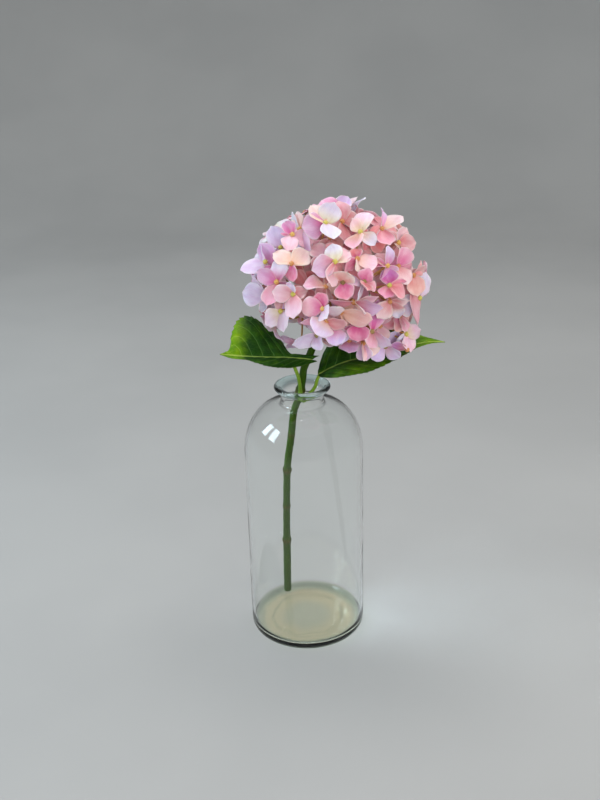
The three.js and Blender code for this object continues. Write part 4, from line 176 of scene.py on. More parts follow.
    [39.6,-60.1,313.9,.083,-.988,.132,"o",[[38.9,-72.9,306.8,-.019,-.48,.877,18.7,1.7,-.6,"Vr"],[50.1,-43.7,309.6,.692,-.56,-.457,16.5,1,1,"Vr"],[25.1,-50.6,320,-.521,-.849,.083,16.3,1,1,"Vr"],[35.4,-43.1,316.9,-.943,-.268,.198,17.7,1,1,"Vr"]]],
    [51.3,-57.9,311,.3,-.931,-.21,"o",[[51.1,-67.7,298.4,.854,-.418,.309,13.3,1.7,.5,"Cr"],[54.8,-61.7,297.3,-.475,-.873,.115,14.1,1,.8,"L0"],[56.4,-40.1,310.2,.86,-.268,-.434,15.6,1,1,"Cr"],[64.7,-48.9,300,.334,-.886,-.323,16.7,1,1,"Cr"]]]
  ]],
  [3, [
    [43,-76.1,352.6,-.023,-.96,-.278,"o",[[65.8,-80.1,348.3,-.236,-.858,-.456,17.5,1.5,2.1,"Vr"],[22.3,-76.2,354.9,-.071,-.714,-.697,12.8,1.1,2.6,"Kr"],[53.4,-86.9,347.6,-.743,-.519,-.422,9.2,1.4,.2,"Cc"],[62.2,-74.5,356.2,.183,-.72,-.67,14.7,1.1,.4,"Pc"]]],
    [32.6,-76,344.5,-.141,-.967,-.211,"o",[[56.9,-82.8,338.6,-.331,-.877,-.349,17.5,.9,2.1,"Ec"],[27.8,-64.2,332.9,-.331,-.727,-.602,17.3,1,1,"Ec"],[39.7,-59,352.2,.467,-.521,.715,15.9,1,1,"Ec"],[43.8,-63.4,336.3,.614,-.735,-.286,18,1,1,"Ec"]]]
  ]],
  [4, [
    [1.5,-30.2,401.1,-.641,-.512,.572,"g",[[6.5,-45.9,379.6,-.746,-.608,.27,17.5,.1,-.7,"V0"],[-.6,-20.4,413.8,-.762,-.567,.313,15.5,1.7,.7,"Pc"],[-5.2,-16.6,412.6,-.91,-.412,-.037,9.4,1.2,-.2,"W0"],[9.5,-17.6,390.6,.881,-.457,.121,16.8,1,1,"V0"]]],
    [22.1,-41.7,408.4,.008,-.628,.778,"y",[[3.1,-40.7,405.7,-.083,-.97,.229,25.2,1.7,-.1,"Vm"],[29.5,-33.5,422.6,.088,-.879,.468,18.3,-.5,-.2,"Wy"],[28.1,-62.4,400.8,.228,-.277,.933,17.5,.3,.9,"W0"],[10.1,-30.1,420.3,.295,-.518,.803,17.5,1.8,1.8,"Cc"]]],
    [25.9,-33,394.1,-.005,-.683,.731,"o",[[18.2,-36.5,383.5,-.241,-.857,.455,13,-.4,-.3,"Dr"],[35.5,-36,384.5,.401,-.677,.617,13.3,-.5,2.4,"Er"],[27.3,-14.7,394.6,.001,-.031,1,18.4,1,1,"Dr"],[28,-21.8,378.6,.146,-.811,-.566,17.2,1,1,"Dr"]]]
  ]],
  [4, [
    [2.5,-1.3,397.8,-.601,.159,.783,"y",[[-1.3,-17.8,392.4,-.679,-.081,.73,18.4,1.3,-.2,"Kr"],[15.2,-7.4,409.8,-.633,.175,.754,16.9,1.4,1.9,"Kr"],[11.6,15.4,393.9,-.482,.44,.758,17.5,1.1,1.3,"K0"],[-8.8,4.3,383.3,-.727,.218,.652,19.1,1,-0,"Kr"]]],
    [26.8,-9.6,393.7,.166,-.755,.634,"e",[[35.7,4.9,404.1,.233,-.657,.717,16.2,1.1,1.1,"Rm"],[9.6,-9.1,403.4,.298,-.767,.568,17.7,1.2,-.9,"E0"],[19.8,-19.2,378.9,.102,-.857,.505,17.6,.8,1.4,"E0"],[44.4,-11.3,386.7,.175,-.756,.631,16.9,1.5,2.4,"Kr"]]]
  ]],
  [4, [
    [6.8,43.9,397.5,-.323,.304,.896,"o",[[20.9,60.4,398.2,-.355,.267,.896,19.3,.3,1.5,"Kr"],[-10.1,53.6,387.8,-.333,.31,.891,20,.9,1.1,"Ky"],[-3.3,23.9,395.3,-.427,.118,.896,19.3,2,1.6,"Kr"],[21.9,32.6,406,-.297,.285,.911,20.8,1.5,0,"Kr"]]],
    [27.6,17.5,408.3,-.148,.182,.972,"y",[[15.4,29.6,397.2,-.365,.398,.842,20.4,1.5,.7,"Dc"],[14,3.8,409.3,-.127,.203,.971,19.7,2.4,2,"K0"],[40.1,1,415.3,-.2,.25,.947,18.3,1.8,.8,"C0"],[41.6,33.6,408.4,-.179,.147,.973,19.4,.6,-.9,"P0"]]]
  ]],
  [4, [
    [43,-20,406.3,-.115,-.363,.925,"o",[[47.7,-10.2,414,-.198,-.541,.817,12.8,-.5,-.9,"Rr"],[55.4,-6.5,422.6,-.665,-.238,.708,9.5,1.6,1.4,"W0"],[46.8,-12.4,391,.597,-.768,-.233,17.3,1,1,"Rr"],[25.8,-15.7,403.9,-.267,-.69,.673,18.2,1,1,"Rr"]]],
    [56.2,7,398.6,.54,.146,.829,"y",[[41.9,-5.9,405.7,.42,.033,.907,19,.9,2,"Dy"],[71.4,-7,395.9,.409,.278,.869,18.7,1.9,1.8,"Dm"],[63.9,20.2,383.9,.672,.339,.658,18.9,2.2,-.1,"Cm"],[40.7,20.5,403.7,.467,.213,.858,19,2,-0,"Dm"]]]
  ]],
  [4, [
    [31.5,-20.2,411.7,-.062,-.386,.92,"g",[[19.6,-9.7,420.9,-.036,-.683,.729,17.5,.3,-.9,"Km"],[42,-9.4,421.5,-.119,-.603,.789,17.2,-.2,3,"Vm"],[50.4,-8,419.7,-.27,-.201,.942,13.3,.6,1.8,"Cc"],[32.8,-12.1,395.6,.16,-.887,-.434,16.6,1,1,"Km"]]],
    [35.8,-33.1,407.1,.395,-.482,.782,"o",[[38.2,-49,390.5,.725,-.444,.526,17.5,.2,.3,"Dr"],[22.1,-21.8,400.7,-.674,-.513,.532,16.8,1,1,"Dr"],[52.8,-23.3,404.5,.46,-.624,.631,15.9,1,1,"Dr"],[33.7,-27.4,423.4,.056,-.939,.338,16.3,1,1,"Dr"]]]
  ]],
  [5, [
    [91.3,9.3,313.3,.856,.093,-.509,"o",[[87.2,26.4,303.8,.895,-.031,-.445,19.2,.3,-0,"Cy"],[103.1,20.5,324.3,.717,-.069,-.694,18.3,1.4,1,"Cc"],[99.4,-5.2,319.8,.805,.196,-.56,18.6,1.6,1,"Cm"],[84.4,-1.7,299.1,.861,.102,-.497,19.1,.8,1.2,"Em"]]]
  ]],
  [5, [
    [89.7,-26.9,306.8,.727,-.671,-.147,"y",[[102.4,-27.4,310.7,-.134,-.936,.326,13.9,-.2,-1,"Py"],[94.3,-34.6,294,.593,-.58,.558,15,-.4,.8,"P0"],[82.5,-32.1,299.8,.559,-.829,.037,10.9,1.9,-.8,"W0"],[88.2,-19.5,311.5,.441,-.414,.796,8.6,2,1.1,"P0"]]],
    [90.5,-33.7,295.6,.316,-.635,-.705,"o",[[76.3,-34.1,299.8,-.144,-.81,-.568,14.2,-.3,.7,"Mr"],[84.1,-17,294.5,.11,-.022,-.994,18,1,1,"Mr"],[87.7,-18.7,305.6,.596,-.368,.714,16.8,1,1,"Mr"],[83.7,-16.9,299,.031,.208,-.978,15.8,1,1,"Mr"]]]
  ]],
  [5, [
    [72,-29.6,297.4,.355,-.731,-.583,"e",[[61,-39.7,289.1,.623,-.774,.116,16.4,.7,-.5,"L0"],[85.5,-33.5,288.3,-.506,-.741,-.442,16,.7,2.4,"Lr"],[66.9,-11.3,298.9,.189,.134,-.973,15.8,1,1,"L0"],[85.6,-21.7,308.5,.568,-.816,-.108,18.1,1,1,"L0"]]],
    [65.1,5.3,298,.503,.498,-.707,"y",[[77.6,6.2,312.9,.64,.517,-.569,16.9,2,-.3,"Kr"],[74.1,-12.6,295.5,.567,.384,-.729,19.6,.7,1.3,"Kr"],[50.9,-.9,286.5,.425,.465,-.776,19.2,1.6,1.8,"Kc"],[58.9,22.8,300.8,.577,.323,-.75,19.6,.7,-.8,"Kc"]]],
    [37.5,-15.5,298.8,-.312,-.132,-.941,"o",[[49.1,-30,303.5,-.127,-.393,-.911,18.2,.2,1.3,"Pr"],[23.3,-26.3,309,-.446,-.232,-.865,17.7,1.3,1.7,"Pm"],[25.8,.9,298.1,-.249,-.223,-.942,18.7,.3,.9,"Pr"],[55.4,-4.8,296.3,-.128,-.02,-.992,20.2,1.4,1.5,"Pm"]]]
  ]],
  [5, [
    [82.5,-41.4,328.2,.766,-.642,.032,"o",[[80.9,-50.5,317.2,.56,-.675,.48,13.7,-.1,1.9,"Dm"],[89.1,-44.6,315.8,.734,-.455,.505,13.8,.8,.2,"Kr"],[72.2,-26.1,323.9,-.428,-.492,-.758,16.6,1,1,"Dm"],[92.9,-28.9,324.3,.737,-.66,-.143,18.1,1,1,"Dm"]]],
    [66.3,-42.6,320.5,.421,-.875,-.24,"o",[[50.2,-45.4,318.6,.197,-.941,-.275,15.2,2.2,.7,"Er"],[68.1,-38.1,302.8,.416,-.891,-.182,17.2,1.9,1.8,"E0"],[81.7,-37.4,325.3,.38,-.889,-.253,15.2,.3,1,"R0"],[67,-50,335.2,.421,-.803,-.423,16.5,1.8,1.6,"D0"]]],
    [58.4,-37.1,313.9,.055,-.976,-.21,"o",[[64.1,-33.2,296,.052,-.979,-.199,17.3,.8,.7,"R0"],[74.8,-35.5,320.5,.163,-.972,-.168,17,2.3,2.3,"K0"],[51.4,-37.1,332.3,-.022,-1,-.007,16.4,.3,2.4,"Er"],[41.3,-38.5,304.3,.164,-.975,-.15,18.1,.8,1.9,"Kr"]]]
  ]],
  [6, [
    [86.2,12.9,385.3,.741,.138,.657,"g",[[97.4,5.2,372.5,.781,.112,.614,18.9,.9,2.5,"Pc"],[87.7,28.9,373.9,.775,.32,.545,17.9,1.1,1.9,"Cc"],[71.7,22.5,395.6,.65,.205,.732,16.9,.4,.2,"P0"],[81,-2.9,393.8,.734,.116,.669,18.9,2.4,1.2,"Pc"]]],
    [75.8,-3.6,376.7,.391,-.606,.692,"e",[[66.7,-13.4,366.8,.254,-.794,.552,14.8,.4,.3,"Kr"],[87.7,-4.4,365.8,.508,-.621,.597,15.4,.5,.6,"R0"],[83.6,10.6,382.9,.426,-.547,.721,14.6,.2,.2,"Er"],[61.6,-3.4,387.2,.467,-.61,.64,14.6,1.5,2.3,"Er"]]]
  ]],
  [6, [
    [105.2,5.8,344.4,.993,.078,-.089,"g",[[107.6,-12.2,339.3,.986,.152,-.069,17.5,2.1,2.3,"Pr"],[101,8.1,325.1,.975,.092,-.2,17.1,1.7,-.6,"Pc"],[104.3,22.9,349,.993,.072,-.091,16.3,.4,.9,"Py"],[107.4,4.5,362.5,.99,.081,-.118,17.8,1.5,.3,"Pr"]]],
    [90.5,-14.2,359.8,.955,-.191,.226,"y",[[90.1,-9.1,343,.992,-.111,-.058,18.8,1.5,.7,"Cm"],[97.6,3.7,362.9,.899,-.391,.197,17.4,.8,-.2,"Cr"],[86.7,-17.9,378.9,.971,-.178,.16,16.5,2.3,.6,"Cr"],[85.5,-31.3,355.4,.926,-.323,.195,16.2,.7,-0,"Pm"]]]
  ]],
  [6, [
    [82.1,-28.4,387.2,.671,-.498,.549,"g",[[97.2,-22.7,385.3,.366,-.811,.456,15.6,.3,.7,"Dr"],[88.9,-16.9,396.4,.731,-.633,.256,15.6,.2,2,"P0"],[82.2,-36.6,383.5,.673,-.302,.675,8.6,-.5,-.7,"Cc"],[69,-18.7,380.6,-.666,-.658,.351,17.7,1,1,"Dr"]]],
    [70.7,-13.8,393.3,.28,-.645,.711,"e",[[56,-19.8,388.3,.079,-.748,.66,15.2,.5,1.2,"Dm"],[80.6,-23.6,386,.127,-.506,.853,16.1,.6,.8,"E0"],[81.6,-2.4,393.4,.481,-.469,.741,15.9,1.6,1.7,"R0"],[63.1,-3.8,402.8,.224,-.575,.787,14.7,2,1.3,"R0"]]]
  ]],
  [6, [
    [88,-11.2,331.1,.8,.225,-.557,"o",[[99.3,-26.8,338.1,.756,.289,-.587,17.4,2.2,1.8,"Py"],[81.3,-22.8,315.8,.809,.242,-.535,18.3,2.1,0,"Pc"],[77.5,3.1,321.2,.81,.212,-.547,19.3,2.2,2.2,"P0"],[92.2,.9,346.3,.831,.3,-.469,18,1.8,-1,"Pm"]]],
    [75.6,-30.6,343.8,.689,-.689,.227,"g",[[82.7,-31.3,327,.657,-.688,.308,15.4,2.2,.2,"D0"],[87.1,-20.5,351.6,.589,-.793,.157,15.7,.6,1.5,"R0"],[66.6,-30.9,359.4,.627,-.697,.349,17,.6,1.7,"D0"],[66.4,-42.5,337.4,.703,-.67,.237,15,.5,1,"D0"]]]
  ]],
  [6, [
    [98.9,-41.8,343.6,.766,-.628,.137,"y",[[105.6,-33.2,363.6,.55,-.819,.166,17.5,1,-.4,"L0"],[93.4,-36.5,353.3,.604,-.511,.612,11.9,.6,2.1,"Kr"],[85,-30.2,337.3,-.481,-.786,-.389,16.2,1,1,"L0"],[92.7,-25.1,348.2,.346,-.13,.929,17,1,1,"L0"]]],
    [93.2,-44.8,364.4,.766,-.643,-.024,"o",[[100.9,-36.4,373.6,.79,-.602,-.116,14.1,1.7,2,"Er"],[104.9,-38.7,368.2,.523,-.709,-.473,13.2,-.5,.4,"Dr"],[97.5,-49,347.6,.382,-.867,.32,18.3,1,1,"Er"],[80.8,-30.7,359.4,-.768,-.628,.125,16.6,1,1,"Er"]]],
    [92.6,-43.7,356.4,.807,-.57,.154,"g",[[95.1,-53.3,324,.8,-.556,.225,17.5,.2,1.6,"Dr"],[89,-26.7,357.7,.59,.065,.805,16.2,1,1,"Dr"],[77.9,-46.2,349.1,.125,-.989,.084,17.4,1,1,"Dr"],[100.2,-29.6,361.1,.732,-.534,.423,17.4,1,1,"Dr"]]]
  ]],
  [7, [
    [6,-57.9,360.5,-.505,-.856,.114,"o",[[-1.8,-51.1,373.8,-.635,-.772,.025,16.2,.4,2,"Rr"],[9.6,-46,346.1,-.073,-.76,-.646,17.5,1,1,"Rr"],[-10.7,-57.8,349.4,-.176,-.949,.26,16.3,1,1,"Rr"],[18.3,-45.5,367.6,.309,-.688,.656,18.2,1,1,"Rr"]]],
    [22.4,-51.5,382.7,.13,-.7,.703,"o",[[34.2,-57.4,372.3,.2,-.738,.644,16.3,.8,.4,"Er"],[32,-40.9,391.1,.137,-.692,.709,14.9,.9,-.4,"Rr"],[9.9,-42.5,389.8,.004,-.619,.786,16,1.4,-.7,"D0"],[11.5,-64.2,376.4,.236,-.589,.773,14.7,.6,2.2,"Dm"]]]
  ]],
  [7, [
    [-5.7,-57.8,380,-.349,-.774,.528,"o",[[-19.9,-52.9,388.9,.321,-.518,.793,16.8,-.1,1.2,"Cc"],[-4.4,-62.4,366.7,-.634,-.747,.2,13.5,.7,.4,"Hm"],[7.3,-46.7,385.5,.252,-.653,.714,17.4,1,1,"Cc"],[-14,-45.6,370.6,-.821,-.571,-.007,17.1,1,1,"Cc"]]],
    [-0,-47.9,378.7,-.42,-.604,.677,"o",[[10.7,-44.1,384.9,-.341,-.414,.844,12.4,1,-.9,"Rr"],[-2.2,-40.8,363.4,-.464,-.827,-.316,16.4,1,1,"Rr"],[-14.2,-44.8,386.8,-.042,-.954,.297,15.9,1,1,"Rr"],[3,-30.9,379.5,-.193,-.013,.981,15.7,1,1,"Rr"]]]
  ]],
  [7, [
    [-18.2,-58.4,365.5,-.583,-.771,.257,"g",[[-34.6,-53.8,373.8,-.336,-.93,-.147,17.5,-.3,1,"Vm"],[-14.1,-50.6,381.1,-.585,-.654,.479,17.2,1,-.9,"Wm"],[-26,-65.1,347.6,-.584,-.645,.492,17.5,-.2,2.7,"Kr"],[-10.3,-47.7,355.7,.259,-.748,-.611,16.1,1,1,"Vm"]]],
    [-5.1,-70.5,358.8,-.417,-.899,.134,"y",[[-21.7,-71.7,361.3,.047,-.988,-.146,16.2,.1,2.5,"Pr"],[-6,-70.1,369.9,-.743,-.669,-.035,10.7,1.4,.7,"L0"],[5.4,-70.6,361.1,-.07,-.956,.284,11.2,.5,1.9,"Dr"],[-5.1,-81.1,341.8,-.608,-.673,.421,17.5,1.9,-.7,"Pr"]]]
  ]],
  [7, [
    [-28,-45.5,349,-.726,-.686,.051,"y",[[-47.7,-42.8,353,-.066,-.944,.323,19.6,.4,1,"L0"],[-39.4,-30.9,362.9,-.842,-.519,-.148,17.1,1.1,.1,"V0"],[-30.1,-46.6,336.4,-.806,-.563,.182,12.3,-.2,2.2,"L0"],[-15.3,-31.9,345.1,.708,-.696,-.125,15.8,1,1,"L0"]]],
    [-15.6,-64.4,342.8,-.513,-.855,.075,"y",[[-29.2,-71.3,334.4,.435,-.9,.038,16.7,-.2,.4,"Wy"],[-13.6,-73.8,328.5,-.678,-.656,.333,16.6,.7,-.7,"W0"],[-17.9,-57.1,349.8,-.76,-.557,.336,10,-.5,-.1,"Dr"],[-6.9,-49.2,333.6,.241,-.6,-.763,17.6,1,1,"Wy"]]]
  ]],
  [7, [
    [-14.4,-36.5,387.7,-.39,-.735,.554,"y",[[-22.2,-28.5,403.8,-.059,-.905,.42,17.7,1.5,1.2,"W0"],[-7.5,-25.5,375.5,.13,-.771,-.624,15.7,1,1,"W0"],[1.9,-35.2,392.6,-.101,-.821,.562,17.9,1,1,"W0"],[-22.7,-19.4,383.2,-.851,-.298,.433,18.1,1,1,"W0"]]],
    [-4.7,-38.1,398.7,-.234,-.579,.781,"g",[[-9.4,-50.5,390,.066,-.586,.808,15.2,.9,-.1,"P0"],[-11.4,-32.7,408.7,.097,-.849,.52,12.6,1.5,2.5,"Mm"],[-14.1,-32.8,400.9,-.001,-.391,.92,10.5,-.3,.9,"Hm"],[12.8,-32.2,391.5,.435,-.807,.399,16.2,1,1,"P0"]]]
  ]],
  [7, [
    [-27.1,-39.8,377.1,-.673,-.594,.441,"y",[[-49,-41.1,371.7,-.15,-.632,.76,17.5,-.4,-.5,"L0"],[-33.1,-29,387,-.843,-.534,.065,15.2,1.9,1.5,"W0"],[-15.6,-28.5,367.6,.531,-.793,-.3,16.2,1,1,"L0"],[-34.4,-35.8,359.7,-.578,-.814,.061,17.7,1,1,"L0"]]],
    [-18.9,-41.8,374.9,-.619,-.741,.263,"o",[[-30.8,-33.8,391.2,-.486,-.871,.075,17.5,1.1,1,"Vm"],[-9.1,-27.2,367.5,.812,-.58,-.066,16.2,1,1,"Vm"],[-30.1,-48.9,361.1,-.223,-.782,.582,16.2,1,1,"Vm"],[-4.9,-35.4,387.1,-.155,-.79,.594,18.2,1,1,"Vm"]]]
  ]],
  [7, [
    [-22.5,-11.8,376,-.857,.174,.485,"o",[[-19.3,3.3,363.2,-.85,.435,.298,20.2,.7,.2,"Lm"],[-29.8,-20.6,357.4,-.941,.097,.324,19.6,1.4,.5,"Wm"],[-16.8,-30,381.9,-.81,-.067,.582,20.4,1.1,1.1,"Lm"],[-9.4,-1.2,389.4,-.783,.242,.573,18.8,2.4,.7,"Lr"]]],
    [10.4,-30.8,378.6,-.301,-.752,.587,"o",[[1,-17.1,384.9,-.424,-.601,.678,18.1,1.3,1.2,"V0"],[-1.9,-37.2,366.8,-.244,-.725,.644,16.6,.3,1.5,"Dm"],[22.8,-42.9,372.6,-.371,-.689,.623,17.7,2.2,.5,"Dm"],[25.2,-23.9,389.8,-.188,-.707,.681,16.5,1.5,-.3,"Kr"]]]
  ]],
  [7, [
    [-14,-18.9,341.1,-.699,-.715,.02,"e",[[-26.5,-9.3,342.1,-.608,-.794,.013,16.7,1.2,.3,"Dr"],[-16.2,-18.3,324.2,-.694,-.717,.064,16.8,.3,.1,"Vr"],[-3.9,-31.7,337.9,-.778,-.627,.044,16.6,1.5,.4,"Rr"],[-13.2,-21.8,358,-.708,-.702,-.082,15.5,1.6,1.6,"Dr"]]]
  ]],
  [8, [
    [58.1,39.3,393.9,.355,.436,.827,"o",[[40.2,27.3,401,.161,.313,.936,20,2.3,2.4,"Pc"],[69.5,22.6,396.6,.383,.396,.834,19,.8,1.1,"Pm"],[70,45.1,378,.557,.549,.623,19.7,1.5,1.2,"P0"],[48.8,56.1,388.1,.339,.466,.817,20.2,.2,-.7,"Pm"]]],
    [65.9,60.5,371.6,.679,.729,.086,"y",[[53.8,76.1,368.6,.775,.623,.109,18.4,1,.7,"Em"],[61.1,63.3,390.2,.684,.726,.067,17.8,.9,.7,"Ey"],[80.2,47.1,375.1,.67,.737,.084,17.7,1.3,2,"Km"],[71.7,57.4,354.1,.676,.731,.095,18.3,.8,.2,"Ec"]]],
    [34.3,57,390.9,.063,.797,.601,"o",[[53.5,54.6,396.6,-.064,.82,.568,16.4,1.6,.3,"Pc"],[37.8,65.5,373.3,.097,.889,.447,17,1.7,.9,"Em"],[16.1,63,388.9,.183,.764,.619,17.2,1.4,1.4,"Cy"],[29.7,48.2,407.1,.094,.863,.497,16.5,.2,1.4,"Cr"]]]
  ]],
  [8, [
    [86.6,49.1,354.5,.901,.433,-.016,"o",[[92.3,31.1,353.1,.953,.302,-.027,19,2.3,2.4,"Er"],[83.4,48.4,333.9,.888,.433,-.154,18.3,2.3,1.1,"Cy"],[78.3,67.7,355.3,.912,.411,-.017,19.3,2.3,1.2,"Dc"],[90.4,47.6,374,.885,.445,-.139,19.1,2.3,.9,"Cm"]]],
    [65,60.4,346.4,.646,.749,-.148,"y",[[59,64.2,362.7,.591,.806,.032,17.2,.4,1.4,"Cc"],[80.6,54.1,351.3,.427,.875,-.229,16.5,2,-.7,"Cc"],[63.8,51.7,330.4,.652,.643,-.401,16.2,.3,.8,"Cr"],[50.1,70.3,338.4,.608,.776,-.169,17.8,2.1,.2,"Cm"]]]
  ]],
  [8, [
    [75.9,34,308.3,.325,.38,-.866,"o",[[74.1,15.6,305.9,.31,.097,-.946,17.7,1.3,.1,"Dr"],[57.6,38.1,306.7,.175,.419,-.891,18.1,.3,-.3,"R0"],[74,48.6,320.3,.309,.628,-.714,18.8,.3,1.3,"Dc"],[90.8,28.3,315.8,.52,.318,-.793,16.4,2.3,1,"Em"]]],
    [76,52.5,326.8,.618,.71,-.339,"o",[[61.2,63.3,317.6,.68,.668,-.303,17.3,2.1,-0,"Cm"],[71.4,62.4,341.6,.607,.734,-.304,18.9,.3,-.6,"Cc"],[91.6,45.8,333.4,.496,.772,-.397,17.8,1.8,-.2,"Kc"],[80,46.6,309.9,.583,.8,-.139,17,1.4,.1,"Cm"]]],
    [96.6,30.2,334.1,.973,.196,-.12,"o",[[97.9,12.6,336.3,.992,.066,-.105,17.4,1.4,2,"Rm"],[93.3,30,314.6,.967,.196,-.165,19.2,1.2,1.4,"Rr"],[94,48.3,336.1,.981,.149,-.125,17.5,.6,.2,"Km"],[97.5,28.3,351.7,.982,.188,-.034,18.3,2.3,-.6,"Rm"]]]
  ]],
  [8, [
    [88.1,22.4,358.8,.91,.369,.188,"y",[[79.2,40.3,358.4,.879,.439,.187,19,2.4,-.7,"Rr"],[81.8,19.1,377.3,.869,.346,.354,18.2,1.7,-.9,"Km"],[95.9,6.8,356.1,.889,.414,.196,17.5,1.6,.2,"Ry"],[92.1,25,341.4,.896,.359,.261,18.3,.6,2,"Dc"]]],
    [85.7,37.7,379.1,.851,.298,.433,"g",[[86.4,24.3,390.4,.85,.367,.378,18.1,2.1,.3,"Ey"],[96.2,27.4,366,.846,.303,.439,17.3,.6,1.9,"Pm"],[83.6,51.2,366.9,.843,.427,.326,18.8,1.2,1.2,"E0"],[74.4,47.7,388.7,.772,.378,.511,17,.8,2.4,"Ec"]]]
  ]]
]

RAY_KNOB = 3.2
rng = np.random.default_rng(20)


# ---------------------------------------------------------------- mesh helpers
def unit(v):
    v = np.asarray(v, float)
    return v / max(np.linalg.norm(v), 1e-9)


def smooth(x, a, b):
    t = np.clip((np.asarray(x, float) - a) / (b - a), 0, 1)
    return t * t * (3 - 2 * t)


class Builder:
    """Collects vertices in millimetres, faces, material numbers and per-vertex attributes for one object."""

    def __init__(self):
        self.v, self.f, self.m = [], [], []
        self.att = {}
        self.n = 0

    def add(self, verts, faces, mat=0, **att):
        verts = np.asarray(verts, float)
        k = len(verts)
        self.v.append(verts)
        self.f += [tuple(i + self.n for i in f) for f in faces]
        self.m += [mat] * len(faces)
        for name in set(self.att) | set(att):
            if name not in self.att:
                w = 4 if name.endswith("col") else 3
                self.att[name] = [np.zeros((self.n, w))] if self.n else []
            if name in att:
                a = np.asarray(att[name], float)
                if a.ndim == 1:
                    a = np.tile(a, (k, 1))
            else:
                w = 4 if name.endswith("col") else 3
                a = np.zeros((k, w))
            self.att[name].append(a)
        self.n += k

    def build(self, name, mats):
        V3 = np.vstack(self.v) * 0.001
        mesh = bpy.data.meshes.new(name)
        mesh.from_pydata(V3.tolist(), [], self.f)
        for mat in mats:
            mesh.materials.append(mat)
        mesh.polygons.foreach_set("material_index", self.m)
        mesh.polygons.foreach_set("use_smooth", [True] * len(self.f))
        for a, parts in self.att.items():
            data = np.vstack(parts)
            if a.endswith("col"):
                att = mesh.attributes.new(a, "FLOAT_COLOR", "POINT")
                att.data.foreach_set("color", data.astype(np.float32).ravel())
            else:
                att = mesh.attributes.new(a, "FLOAT_VECTOR", "POINT")
                att.data.foreach_set("vector", data.astype(np.float32).ravel())
        mesh.update()
        mesh.validate()
        ob = bpy.data.objects.new(name, mesh)
        scene.collection.objects.link(ob)
        return ob


def catmull(points, n):
    """n points along a centripetal-like smooth curve through the given points."""
    P = np.asarray(points, float)
    seg = np.linalg.norm(np.diff(P, axis=0), axis=1)
    t = np.concatenate([[0], np.cumsum(np.maximum(seg, 1e-6) ** 0.75)])
    t /= t[-1]
    # finite-difference tangents, then cubic Hermite
    T = np.zeros_like(P)
    for i in range(len(P)):
        a, b = max(i - 1, 0), min(i + 1, len(P) - 1)
        T[i] = (P[b] - P[a]) / (t[b] - t[a])
    s = np.linspace(0, 1, n)
    k = np.clip(np.searchsorted(t, s, side="right") - 1, 0, len(P) - 2)
    h = (t[k + 1] - t[k])[:, None]
    x = ((s - t[k]) / (t[k + 1] - t[k]))[:, None]
    return (
        (2 * x**3 - 3 * x**2 + 1) * P[k]
        + (x**3 - 2 * x**2 + x) * h * T[k]
        + (-2 * x**3 + 3 * x**2) * P[k + 1]
        + (x**3 - x**2) * h * T[k + 1]
    )


def tube(path, radius, sides, squash=None, twist=0.0, cap=True):
    """Vertices and faces of a closed round tube along path; radius per point. Also each vertex's (share along, angle, 0)."""
    path = np.asarray(path, float)
    n = len(path)
    radius = np.broadcast_to(np.asarray(radius, float), (n,))
    tan = np.gradient(path, axis=0)
    tan /= np.linalg.norm(tan, axis=1)[:, None]
    ref = unit(np.cross(tan[0], [0.3, 0.9, 0.2]))
    V, A = [], []
    for i in range(n):
        ref = unit(ref - np.dot(ref, tan[i]) * tan[i])
        bi = np.cross(tan[i], ref)
        for k in range(sides):
            a = 2 * math.pi * k / sides + twist * i / n
            r = radius[i] * (1 if squash is None else squash(i / (n - 1), a))
            V.append(path[i] + ref * math.cos(a) * r + bi * math.sin(a) * r)
            A.append((i / (n - 1), k / sides, 0))
    F = []
    for i in range(n - 1):
        for k in range(sides):
            a, b = i * sides + k, i * sides + (k + 1) % sides
            F.append((a, b, b + sides, a + sides))
    if cap:
        for end, ring in ((0, 0), (n - 1, (n - 1) * sides)):
            c = len(V)
            V.append(path[end] + tan[end] * (-0.12 if end == 0 else 0.12) * radius[end])
            A.append((0.0 if end == 0 else 1.0, 0.5, 1))
            for k in range(sides):
                a, b = ring + k, ring + (k + 1) % sides
                F.append((b, a, c) if end == 0 else (a, b, c))
    return np.array(V), F, np.array(A, float)


# ---------------------------------------------------------------- materials
def new_material(name):
    mat = bpy.data.materials.new(name)
    mat.use_nodes = True
    nt = mat.node_tree
    bsdf = next(n for n in nt.nodes if n.type == "BSDF_PRINCIPLED")
    return mat, nt, bsdf


def node(nt, kind, **values):
    n = nt.nodes.new(kind)
    for k, v in values.items():
        setattr(n, k, v)
    return n


def math_node(nt, op, a, b=None, c=None, clamp=False):
    n = nt.nodes.new("ShaderNodeMath")
    n.operation = op
    n.use_clamp = clamp
    for i, x in enumerate((a, b, c)):
        if x is None:
            continue
        if isinstance(x, (int, float)):
            n.inputs[i].default_value = x
        else:
            nt.links.new(x, n.inputs[i])
    return n.outputs[0]


def mapped(nt, value, a, b, lo=0.0, hi=1.0, kind="SMOOTHSTEP"):
    n = nt.nodes.new("ShaderNodeMapRange")
    n.interpolation_type = kind
    nt.links.new(value, n.inputs["Value"])
    n.inputs["From Min"].default_value = a
    n.inputs["From Max"].default_value = b
    n.inputs["To Min"].default_value = lo
    n.inputs["To Max"].default_value = hi
    return n.outputs["Result"]


def mix_colour(nt, fac, a, b, blend="MIX"):
    n = nt.nodes.new("ShaderNodeMix")
    n.data_type = "RGBA"
    n.blend_type = blend
    n.clamp_factor = True
    fi, ai, bi = n.inputs[0], n.inputs[6], n.inputs[7]
    for socket, x in ((fi, fac), (ai, a), (bi, b)):
        if isinstance(x, (int, float)):
            socket.default_value = x
        elif isinstance(x, (tuple, list)):
            socket.default_value = (*x, 1.0) if len(x) == 3 else x
        else:
            nt.links.new(x, socket)
    return n.outputs[2]


